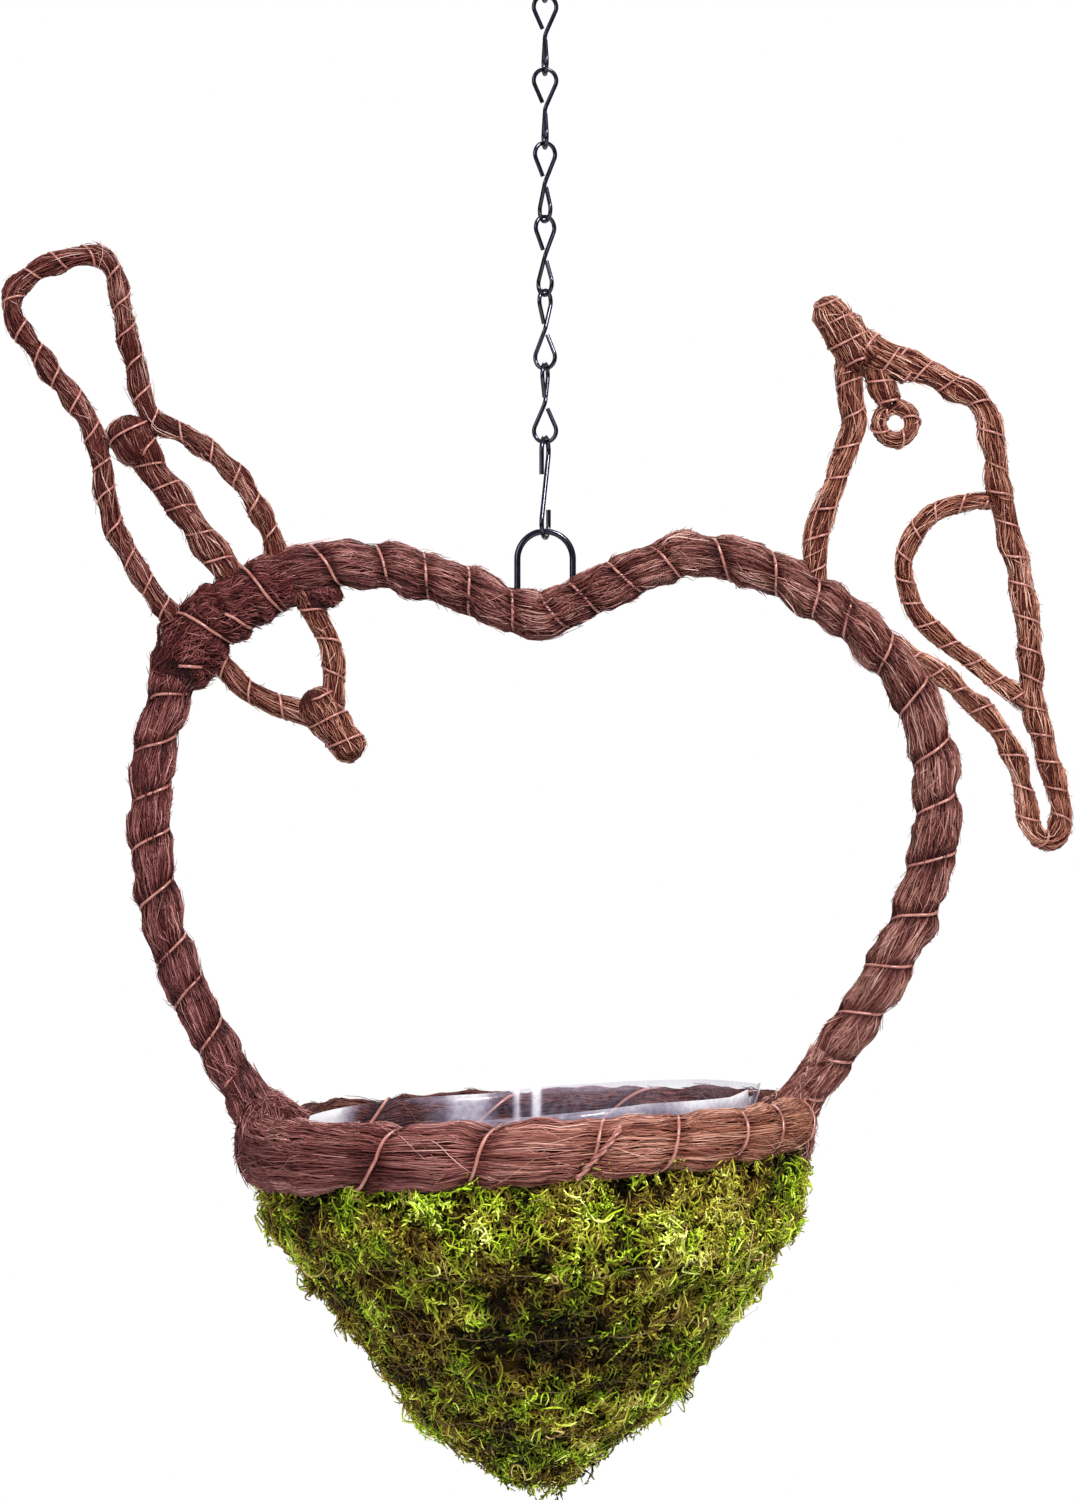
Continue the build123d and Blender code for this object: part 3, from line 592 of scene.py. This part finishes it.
# -------------------- wrap of the left joint
# Each mass: a limb, and how much its strands lean, spread and stray. Only the first two are bound.
masses = [
    (limb([(-157, 188), (-153, 204), (-142, 218), (-128, 226)], [9.5, 12.8, 13.6, 12.6, 11.2], 20.0,
          pinch=0.08, lump=0.14, blunt=(5, 5)), 0.5, 0.5, 0.2),
    (limb([(-140, 215), (-128, 226), (-118, 231), (-106, 235)], [11.0, 12.8, 12.0, 10.4], 20.0,
          pinch=0.08, lump=0.10, blunt=(5, 3)), 0.25, 0.35, 0.2),
    (limb([(-104, 225), (-95, 226), (-86, 230)], [3.0, 5.0, 4.6, 2.4], 24.0,
          pinch=0.0, lump=0.12, blunt=(3, 3)), 0.5, 0.8, 0.7),
    (limb([(-153, 192), (-146, 201), (-135, 209)], [5.0, 7.6, 7.8, 4.6], 24.0,
          pinch=0.0, lump=0.12, blunt=(4, 4)), 0.5, 0.8, 0.7)]
STRANDS_PER_MM = 36
hanks = [mass.strands(int(mass.length / MM * STRANDS_PER_MM), length=9 * MM, width=0.22 * MM, lean=lean,
                      spread=spread, lift=0.8 * MM, stray=stray, flare=2.6 * MM, points=7)
         for mass, lean, spread, stray in masses]
skins = [mass.core(inset=(0.8 + 3 * stray) * MM) for mass, _, _, stray in masses]
wrap_piece("left_joint_wrap", skins, under_fibre, ["left_bird_joint_wrap"])
wrap_piece("left_joint_strands", hanks, dark_fibre)
wire_piece("left_joint_binding", [mass.wire(HOOP_WIRE) for mass, *_ in masses[:2]])

# -------------------- rim
RIM_STEPS = 704
RIM_WIRE = 0.80 * MM
RIM_LIFT = 0.3                       # mm above the core ring at the middle, and per mm across
RIM_TILT = 0.055
FRONT_TURNS = [-120.6, -99.7, -76.8, -60.0, -41.9, -29.7]    # where the wire crosses, in degrees
BACK_TURNS = list(np.linspace(-8.0, 150.0, 6))


def wrapped_rim():
    """The rim, from its left side round the front to the right, and back behind."""
    angle = np.linspace(-math.pi, math.pi, RIM_STEPS + 1)
    out = circle(angle)
    line = RIM_MIDDLE + RIM_RADIUS * out
    across = line[:, 0] / MM
    line[:, 2] += (RIM_LIFT + RIM_TILT * across) * MM
    turns = [-180.0] + FRONT_TURNS + BACK_TURNS + [180.0]
    turn = np.interp(np.degrees(angle), turns, np.arange(len(turns)))
    return Wrapped((angle + math.pi) * RIM_RADIUS, line, np.tile(UP, (len(angle), 1)), out,
                   wide=(12.6 - 0.02 * across) * MM, high=np.full(len(angle), 9.4 * MM), turn=turn,
                   hand=-1, pinch=0.20, grip=0.10, lump=0.10, closed=True, steep=0.55)


def knot(points=70):
    """Two wires twisted round each other over the front of the rim."""
    share = np.linspace(0, 1, points)[None]
    crossing = 6 * math.pi * share + np.array([[0.0], [math.pi]])
    far = RIM_RADIUS * (math.pi + np.radians(-80.5 + 8.5 * share)) + 0.9 * MM * np.sin(crossing)
    around = np.radians(146 - 96 * share) + 0 * crossing
    path = rim.at(far, around, (1.5 + 0.9 * np.cos(crossing)) * MM)
    return tubes(path, np.full((2, points), 0.75 * MM), 6)


rim = wrapped_rim()
wrap_piece("rim_wrap", [rim.core(inset=0.9 * MM, around=28)], under_fibre, ["rim_core_ring"])
# The strands on the back half of the rim wear the darker tones: painted shade.
for name, tones, reach in (("back", back_fibre_painted_shade, (0.5, 1.0)), ("front", rim_fibre, (0.0, 0.5))):
    wraps = [
        rim.strands(count=3300, length=46 * MM, width=0.25 * MM, lean=0.03, spread=0.05, stray=0.03,
                    flare=2 * MM, reach=reach, wave=0.02),
        rim.strands(count=480, length=30 * MM, width=0.22 * MM, spread=0.32, lift=0.7 * MM, stray=0.25,
                    flare=2.5 * MM, reach=reach)]
    wrap_piece(f"rim_strands_{name}", wraps, tones, ["rim_fibre"])
wire_piece("rim_binding", [rim.wire(RIM_WIRE, steps=40), knot()], ["rim_binding_wire"])


# -------------------- feet of the hoop
def foot(side_name, centre, leg, web, sink, tall, deep):
    """The wrap of one foot: a collar round the leg, a fill in its corner, and a band over the rim that
    is sunk by some mm below the rim plane, with half its height and its depth in mm."""
    fill = limb(web, [7.0, 7.5, 6.0, 3.5], 26.0, pinch=0.0, lump=0.06)
    collar = limb(leg, [12.0, 10.8, 9.4, 8.3, 7.8, 7.6], 26.0, pinch=0.06, lump=0.04)
    steps = 60
    turn = centre + np.linspace(-0.24, 0.24, steps)
    out = circle(turn)
    line = RIM_MIDDLE - sink * MM * UP + RIM_RADIUS * out
    dome = np.sqrt(np.clip(1 - np.linspace(-1, 1, steps) ** 4, 0.02, 1))
    band = Wrapped((turn - turn[0]) * RIM_RADIUS, line, np.tile(UP, (steps, 1)), out,
                   wide=tall * MM * dome, high=deep * MM * dome, turn=np.linspace(0, 2, steps),
                   hand=-1, pinch=0.05, grip=0.1, lump=0.10)
    cores = [part.core(inset=0.8 * MM) for part in (collar, band, fill)]
    wrap_piece(f"{side_name}_foot_core", cores, under_fibre, [f"{side_name}_foot_wrap"])
    hairs = [
        collar.strands(count=900, length=20 * MM, width=0.24 * MM, spread=0.3, lift=0.5 * MM, stray=0.12),
        fill.strands(count=500, length=12 * MM, width=0.24 * MM, spread=0.5, lift=0.8 * MM, stray=0.3),
        band.strands(count=2200, length=13 * MM, width=0.24 * MM, lean=0.5, spread=0.9, lift=1.1 * MM,
                     stray=0.3, flare=2.5 * MM)]
    wrap_piece(f"{side_name}_foot_strands", hairs, hoop_fibre)


foot("left", math.pi, leg=[(-113, -8), (-118, 4), (-126, 18), (-137, 34)],
     web=[(-124, 15), (-113, 9), (-101, 4)], sink=3, tall=17.5, deep=10.6)
foot("right", 0.0, leg=[(98, -6), (102, 5), (109, 17), (120, 34)],
     web=[(103, 12), (96, 8), (90, 5)], sink=0, tall=14.5, deep=7.6)

# -------------------- moss
# The cone in mm: heights from the rim plane, with the radius and with how far across its middle is.
MOSS = [(-2, 113), (-36, 111), (-55, 97), (-80, 78), (-103, 60), (-120, 45), (-132, 29), (-145, 13),
        (-148, 5)]
MIDDLES = [(-2, -4), (-38, -6), (-55, -5), (-78, -4), (-103, -2), (-120, -6), (-132, -4), (-148, -3)]
MOSS_HEIGHTS, MOSS_RADII = np.array(MOSS, float).T
MIDDLE_HEIGHTS, MIDDLE_ACROSS = np.array(MIDDLES, float).T
MOSS_TOP = -3
MOSS_DEPTH = 145
INNER_HEIGHTS = (8, 37, 113, 148)    # the hollow for the liner, in mm below the rim plane
INNER_RADII = (107, 98.5, 33.5, 8)
INNER_FLOOR = -114.0
# Loose bunches: x, y and height in mm, and how wide they spread.
TASSELS = [(-96, -18, -61, 6), (-111, -14, -22, 10), (-113, 8, -20, 10), (56, -24, -104, 5),
           (-58, -24, -105, 5), (101, -18, -20, 8), (-83, -24, -76, 6)]
# Light and dark patches: across and height in mm, how wide and how strong. They show on both faces.
SUNNY = [(64, -27, 26, 0.25), (98, -32, 20, 0.14), (-30, -34, 15, 0.16), (-70, -48, 16, 0.12),
         (36, -104, 20, 0.34), (72, -74, 18, 0.18), (-96, -40, 18, 0.10), (8, -52, 18, 0.08),
         (-6, -138, 32, 0.18)]
BROWN = [(-52, -78, 26, 0.06), (20, -74, 20, 0.08), (-6, -24, 14, 0.08), (-10, -62, 44, 0.08)]


def moss_point(height, around, lift=0.0):
    """Point on the clumps of moss at a height in mm from the rim plane, and the outward direction there."""
    radius = np.interp(-height, -MOSS_HEIGHTS, MOSS_RADII)
    middle = np.interp(-height, -MIDDLE_HEIGHTS, MIDDLE_ACROSS)
    slope = np.where(height > -36, 0.1, 0.8)
    out = unit(np.stack([np.cos(around), np.sin(around), -slope + 0 * around], axis=-1))
    point = np.stack([middle + radius * np.cos(around), radius * np.sin(around), height + 0 * around],
                     axis=-1)
    clump = 7.0 * (cloud(point, 17.0) - 0.5) + 6.0 * (cloud(point + 50, 8.0) - 0.5)
    clump = clump * np.clip(radius / 60, 0.35, 1) + lift
    return (point + clump[..., None] * out) * MM + RIM_Z * UP, out


def moss_shade(places, lift):
    """Brightness of moss at given places, with painted light and shade: raised leaves are lighter and the
    hollows between clumps darker. There are also light and dark patches.
    """
    spots = (places - RIM_Z * UP) / MM
    # Painted shade: the 17 mm and 8 mm clouds are the clump noise of moss_point, so the moss is painted
    # darker in the hollows of its clumps and lighter on their tops. The 34 mm cloud is the moss's own tone.
    shade = 0.56 * cloud(spots, 17.0) + 0.66 * cloud(spots + 50, 8.0) + 0.30 * cloud(spots + 90, 34.0) - 0.40
    for sign, patches in ((1, SUNNY), (-1, BROWN)):
        for across, tall, wide, strength in patches:
            for face in (1, -1):
                away = np.hypot(spots[..., 0] * face - across, spots[..., 2] - tall) / wide
                shade = shade + sign * strength * np.exp(-away ** 2) * (spots[..., 1] * face < 0)
    # Painted light: raised leaves are lighter.
    return shade + 0.06 * lift


def moss_height(count):
    """Heights that spread evenly over the cone's skin."""
    return MOSS_TOP - MOSS_DEPTH * (1 - (1 - rng.random((count, 1))) ** 0.62)


def moss_cone(rows=90, steps=240):
    """The solid cone under the leaves: clumps outside, and the liner's hollow inside."""
    share = np.linspace(0, 1, rows)
    height = np.interp(share, np.linspace(0, 1, len(MOSS_HEIGHTS)), MOSS_HEIGHTS)[:, None]
    around = -np.arange(steps)[None] * TURN / steps
    outer, _ = moss_point(height + 0 * around, around + 0 * height, rng.normal(-1.6, 0.5, (rows, steps)))
    radius = np.interp(-height, INNER_HEIGHTS, INNER_RADII)
    bottom = np.maximum(height, INNER_FLOOR)
    inner = np.stack([(BASKET_X / MM + radius * np.cos(around)) * MM, radius * np.sin(around) * MM,
                      (bottom + 0 * around) * MM + RIM_Z], axis=-1)
    return shell(np.concatenate([outer[::-1], inner])[None][:, ::-1, ::-1])


def fronds(count, size, thickness, leaves):
    """Feathery fronds: a curved stem, with small leaves along both sides."""
    each = (count, 1)
    around = rng.uniform(0, TURN, each)
    height = moss_height(count)
    root, out = moss_point(height, around, -1.5)
    down = unit(np.stack([-np.cos(around) * 0.6, -np.sin(around) * 0.6, -1 + 0 * around], axis=-1))
    down = unit(down - np.sum(down * out, axis=-1, keepdims=True) * out)
    beside = np.cross(out, down)
    turn = (rng.normal(0, 1.3, each) * np.clip(-height / 22, 0.2, 1))[..., None]
    ahead = np.cos(turn) * down + np.sin(turn) * beside
    side = np.cross(out, ahead)
    length = (size * rng.uniform(0.5, 1.5, each) * MM)[..., None]
    rise = rng.uniform(0.15, 0.9, each)[..., None]
    curl = rng.normal(0, 0.5, each)[..., None]
    own = moss_shade(root, 0) + rng.normal(0, 0.07, each)

    def stem(share):
        share = share[..., None]
        up = rise * share - 0.85 * rise * share ** 2
        return root + length * (ahead * share + out * up + side * curl * share ** 2)

    share = np.linspace(0, 1, 6)[None] + np.zeros(each)
    # Painted shade: a stem is darker than its leaves, most of all at its root down in the moss, and lighter
    # towards its tip.
    made = [tubes(stem(share), thickness * (1.1 - 0.8 * share), shade=own - 0.12 + 0.1 * share)]
    tip = np.linspace(0, 1, 3)[None, :, None]
    for number in range(leaves):
        spot = np.full(each, 0.12 + 0.88 * number / leaves) + rng.uniform(-0.04, 0.04, each)
        way = (1 if number % 2 else -1) * rng.uniform(0.3, 1.1, each)[..., None]
        point = unit(ahead * rng.uniform(0.1, 1.0, each)[..., None] + side * way
                     + out * rng.uniform(-0.3, 1.0, each)[..., None])
        leaf = (rng.uniform(1.2, 3.0, each) * MM * (1.2 - 0.5 * spot))[..., None]
        bend = (ahead * rng.normal(0.1, 0.5, each)[..., None]
                + out * rng.normal(-0.2, 0.5, each)[..., None])
        thick = thickness * rng.uniform(0.8, 1.6, each) * np.array([0.8, 1.0, 0.3])[None]
        # Painted light: each leaf is lighter towards its tip.
        tone = own + rng.normal(0.0, 0.17, each) + 0.12 * tip[..., 0]
        made.append(tubes(stem(spot) + leaf * (point * tip + bend * tip ** 2), thick, shade=tone))
    return made


def strokes(count, size, points, bend):
    """Bent strokes on a skin: shares along them, and how many mm across and up from their middles."""
    each = (count, 1)
    share = np.linspace(-0.5, 0.5, points)[None]
    length = size * rng.uniform(0.5, 1.5, each)
    heading = rng.uniform(0, TURN, each) + rng.normal(0, bend, each) * share
    return share, length * np.cos(heading) * share, length * np.sin(heading) * share


def tapered(count, thickness, share):
    """Radii of strokes that are thick in the middle and thin at both ends."""
    return thickness * rng.uniform(0.7, 1.3, (count, 1)) * (1.2 - 1.6 * np.abs(share))


def moss_hairs(count, size, thickness, rise, points=8, dim=0.0):
    """Loose stems and curls that lie over the moss."""
    each = (count, 1)
    height = moss_height(count)
    around = rng.uniform(0, TURN, each)
    share, across, up = strokes(count, size, points, 2.4)
    radius = np.interp(-height, -MOSS_HEIGHTS, MOSS_RADII)
    tall = np.clip(height + up, -150, MOSS_TOP)
    wide = around + across / np.maximum(radius, 20)
    lift = rng.uniform(-0.4, 1, each) + rng.uniform(0, 0.8, each) * np.sin(6.0 * share + around)
    path, _ = moss_point(tall, wide, lift * rise)
    # Through moss_shade, lifted curls are painted lighter and curls in the hollows of the clumps darker:
    # painted light and shade.
    shade = moss_shade(path, lift * rise) + rng.normal(-dim, 0.16, each)
    return tubes(path, tapered(count, thickness, share), shade=shade)


def lining(count, size, thickness):
    """Curls that lie on the inner face of the cone, behind the liner."""
    each = (count, 1)
    top, depth = -9, 100
    height = top - depth * (1 - (1 - rng.random(each)) ** 0.7)
    around = rng.uniform(0, TURN, each)
    share, across, up = strokes(count, size, 6, 1.4)
    tall = np.clip(height + up, -112, top)
    radius = np.interp(-tall, INNER_HEIGHTS, INNER_RADII) + rng.uniform(-0.5, 0.4, each)
    wide = around + across / radius
    path = np.stack([BASKET_X / MM + radius * np.cos(wide), radius * np.sin(wide), RIM_Z / MM + tall],
                    axis=-1) * MM
    shade = 0.44 + 0.35 * (cloud(path / MM, 14.0) - 0.5) + rng.normal(0, 0.13, each)
    return tubes(path, tapered(count, thickness, share), shade=shade)


def tassels(count, size, thickness):
    """Curls that hang loose from the moss in small bunches."""
    places = np.repeat(np.array(TASSELS, float), count, axis=0)
    wide = places[:, 3:4]
    root = places[:, None, :3] + rng.uniform(-0.5, 0.5, (len(places), 1, 3)) * wide[..., None]
    ahead = unit(rng.normal(0, 0.45, (len(places), 1, 3)) - UP)
    bend = rng.normal(0, 0.5, (len(places), 1, 3))
    share = np.linspace(0, 1, 7)[None, :, None]
    length = size * rng.uniform(0.5, 1.5, (len(places), 1, 1))
    path = (root + length * (ahead * share + bend * np.sin(math.pi * share))) * MM + RIM_Z * UP
    thick = thickness * rng.uniform(0.7, 1.4, (len(places), 1)) * (1.2 - 0.9 * share[..., 0])
    return tubes(path, thick, shade=moss_shade(path, 0) + rng.normal(0.14, 0.12, (len(places), 1)))


def thread_ring(height, tilt, start, points=160):
    """One turn of thread round the moss, tilted by some mm."""
    turn = np.linspace(0, TURN, points)[None]
    path, _ = moss_point(height + tilt * np.cos(turn + start) + 1.5 * np.sin(5 * turn), turn, 1.6)
    return tubes(path, np.full((1, points), 0.26 * MM), 5)


piece("moss_body", moss_cone(), moss_below, stands_for=["moss_shell"])
for number in range(4):
    leaves = fronds(count=950, size=10.5, thickness=0.40 * MM, leaves=12)
    piece(f"moss_fronds_{number + 1}", joined(leaves), moss_frond)
piece("moss_lining", lining(count=4200, size=9.0, thickness=0.42 * MM), moss_stem)
curls = [moss_hairs(count=4600, size=9.0, thickness=0.50 * MM, rise=2.8, points=6),
         tassels(count=46, size=3.6, thickness=0.46 * MM)]
piece("moss_curls", joined(curls), moss_frond)
mat = moss_hairs(count=5400, size=7.0, thickness=0.52 * MM, rise=0.5, points=6, dim=0.10)
piece("moss_mat", mat, moss_frond)
stems = [moss_hairs(count=2300, size=13.0, thickness=0.20 * MM, rise=2.2),
         moss_hairs(count=60, size=60.0, thickness=0.22 * MM, rise=3.5, points=16),
         moss_hairs(count=90, size=9.0, thickness=0.6 * MM, rise=2.6, points=9, dim=-0.15)]
piece("moss_stems", joined(stems), moss_stem)
THREAD_RINGS = ((-50, 5, 0.3), (-72, -6, 2.0), (-94, 7, 4.0), (-115, -7, 1.0))   # height, tilt, start
piece("moss_thread", joined([thread_ring(*ring) for ring in THREAD_RINGS]), thread,
      stands_for=["moss_binding_thread"])

# -------------------- liner
SEAM = math.radians(-17)             # where the cut edge of the film shows
LAP = math.radians(24)               # how far the film laps over itself there
LAP_HEIGHT = 17.5                    # top of the inner layer there, in mm
FILM = 0.5 * MM
FILM_FLOOR = -87.4
# Heights of the film's edge in mm at angles in degrees, from the seam on the right and over the back.
EDGE_ANGLES = [-17, 0, 38, 60, 85, 102, 121, 144, 157, 180, 200, 230, 258, 273, 300, 330, 337, 343]
EDGE_HEIGHTS = [24, 21, 20.3, 18.3, 15.1, 12, 11, 8.7, 7.5, 5.5, 5, 7, 12, 14, 18.2, 18.8, 20, 21]
WALL_DEPTHS = [-24, 34.5, 88]        # mm below the rim plane, and the film's radius there
WALL_RADII = [97.2, 94.9, 50.2]
FLOOR_RINGS = ((0.5, 87.3), (48.6, 87.3), (48.6, 87.9), (0.5, 87.9))     # radius and depth in mm
# Milky creases: their middle and width in degrees, and their strength. The last one is a clear band.
CREASES = [(164, 20, 0.80), (106, 6, 0.50), (93, 0.8, 0.6), (88, 1.3, 0.7), (-60, 16, 0.16),
           (-30, 20, 0.56), (-170, 20, 0.5), (132, 12, -0.25)]


def film_profile(steps=480, rows=26):
    """Turn, height of the edge, height and radius (mm) over the film, from the seam round over its lap."""
    turn = np.linspace(SEAM, SEAM + TURN + LAP, steps)[:, None]
    down = np.linspace(0, 1, rows)[None]
    past_seam = turn - SEAM
    edge = np.interp(np.mod(past_seam, TURN), np.radians(EDGE_ANGLES) - SEAM, EDGE_HEIGHTS)
    edge = np.where(past_seam > TURN, LAP_HEIGHT, edge)
    height = edge * (1 - down) + FILM_FLOOR * down
    lean_out = np.interp(past_seam, [0, 0.12, 0.3, TURN + LAP], [5.0, 1.5, 0.0, 0.0])
    radius = np.interp(-height, WALL_DEPTHS, WALL_RADII) - 0.9 * past_seam / TURN
    radius = radius + lean_out * np.clip((height - 10) / 12, 0, 1)
    radius = radius + 0.45 * np.sin(9 * turn) * np.clip(height / 20, 0, 1)
    return turn, edge, height, radius


def film_milk(turn, edge, height):
    """How milky the film is: a light cloud, its cut edge, and creases that fade with depth."""
    milk = 0.30 * cloud(np.stack([turn * 6 + 0 * height, height / 22, 0 * height], axis=-1), 1.0) + 0.1
    below_edge = edge - height
    milk = milk + 0.25 * np.exp(-below_edge)
    fading = 0.15 + 0.85 * np.exp(-(below_edge / 32) ** 2)
    degrees = np.degrees(np.mod(turn + math.pi, TURN) - math.pi)
    for middle, wide, strength in CREASES:
        milk = milk + strength * fading * np.exp(-((degrees - middle) / wide) ** 4)
    return milk


def film_side(turn, height, radius):
    """Points on one side of the film."""
    wide = radius * MM
    return np.stack([BASKET_X + wide * np.cos(turn), wide * np.sin(turn), RIM_Z + height * MM], axis=-1)


def film_wall():
    """The wall of the liner: both sides of the film, closed round its edges."""
    turn, edge, height, radius = film_profile()
    milk = film_milk(turn, edge, height)
    outside = film_side(turn, height, radius)
    inside = film_side(turn, height, radius - FILM / MM)
    points, faces, _ = shell(np.concatenate([outside, inside[:, ::-1]], axis=1)[None])
    return points, faces, np.concatenate([milk, milk[:, ::-1]], axis=1).reshape(-1)


def film_floor(points=64):
    """The flat floor of the liner."""
    turn = np.linspace(0, TURN, points, endpoint=False)
    rings = [RIM_MIDDLE - depth * MM * UP + radius * MM * circle(turn) for radius, depth in FLOOR_RINGS]
    return shell(np.array(rings)[None])


liner = piece("liner_film", joined([film_wall(), film_floor()]), clear_film,
              body="liner", stands_for=["plastic_liner"])

# -------------------- light, floor and camera
SKY_TONES = [(0.0, (150, 150, 152)), (0.5, (190, 190, 194)), (0.9, (255, 255, 255))]
FLOOR_TONES = [(0.3, (240, 240, 241)), (0.7, (245, 245, 246))]
LAMP_TARGET = Vector((0, 0, -0.35))
FLOOR_RADIUS = 2.5
FLOOR_Z = -1.30
FLOOR_SIDES = 96


def studio_world():
    """A white backdrop for the camera, and a soft sky that lights the object."""
    world = bpy.data.worlds.new("world")
    bpy.context.scene.world = world
    world.use_nodes = True
    tree = world.node_tree
    backdrop = set_up(tree.nodes["Background"], Color=(1, 1, 1, 1), Strength=1.0)
    split = add(tree, "ShaderNodeSeparateXYZ")
    tree.links.new(add(tree, "ShaderNodeTexCoord").outputs["Generated"], split.inputs[0])
    soft = add(tree, "ShaderNodeBackground", Strength=0.42)
    tree.links.new(ramp(tree, split.outputs["Z"], SKY_TONES), soft.inputs["Color"])
    either = add(tree, "ShaderNodeMixShader")
    tree.links.new(add(tree, "ShaderNodeLightPath").outputs["Is Camera Ray"], either.inputs["Fac"])
    tree.links.new(soft.outputs[0], either.inputs[1])
    tree.links.new(backdrop.outputs[0], either.inputs[2])
    tree.links.new(either.outputs[0], tree.nodes["World Output"].inputs["Surface"])


def lamp(name, place, size, power):
    """A soft square lamp that faces the object."""
    data = bpy.data.lights.new(name, "AREA")
    data.size = size
    data.energy = power
    made = placed(name, data)
    made.location = place
    made.rotation_euler = (LAMP_TARGET - Vector(place)).to_track_quat("-Z", "Y").to_euler()


def pale_floor():
    """A round pale floor, small enough to stay out of the photo's view."""
    turn = np.arange(FLOOR_SIDES) * TURN / FLOOR_SIDES
    edge = FLOOR_RADIUS * circle(turn) + FLOOR_Z * UP
    mesh = bpy.data.meshes.new("floor")
    mesh.from_pydata(edge.tolist(), [], [list(range(FLOOR_SIDES))])
    mesh.materials.append(plain("pale_floor", FLOOR_TONES, rough=0.9, scale=4.0, specular=0.1))
    return placed("floor", mesh)


studio_world()
lamp("key", (1.0, -1.9, 1.5), size=0.7, power=150)
lamp("fill", (-1.8, -1.9, 0.5), size=1.4, power=42)
lamp("back", (0.3, 1.8, 1.5), size=1.4, power=40)
floor = pale_floor()

camera = placed("camera", bpy.data.cameras.new("camera"))
camera.location = (-0.0032, -2.5, -0.3580)
camera.rotation_euler = (math.radians(90), 0, 0)
camera.data.lens = 142.05
camera.data.sensor_width = 36.0
bpy.context.scene.camera = camera
bpy.context.scene.view_settings.view_transform = "Standard"
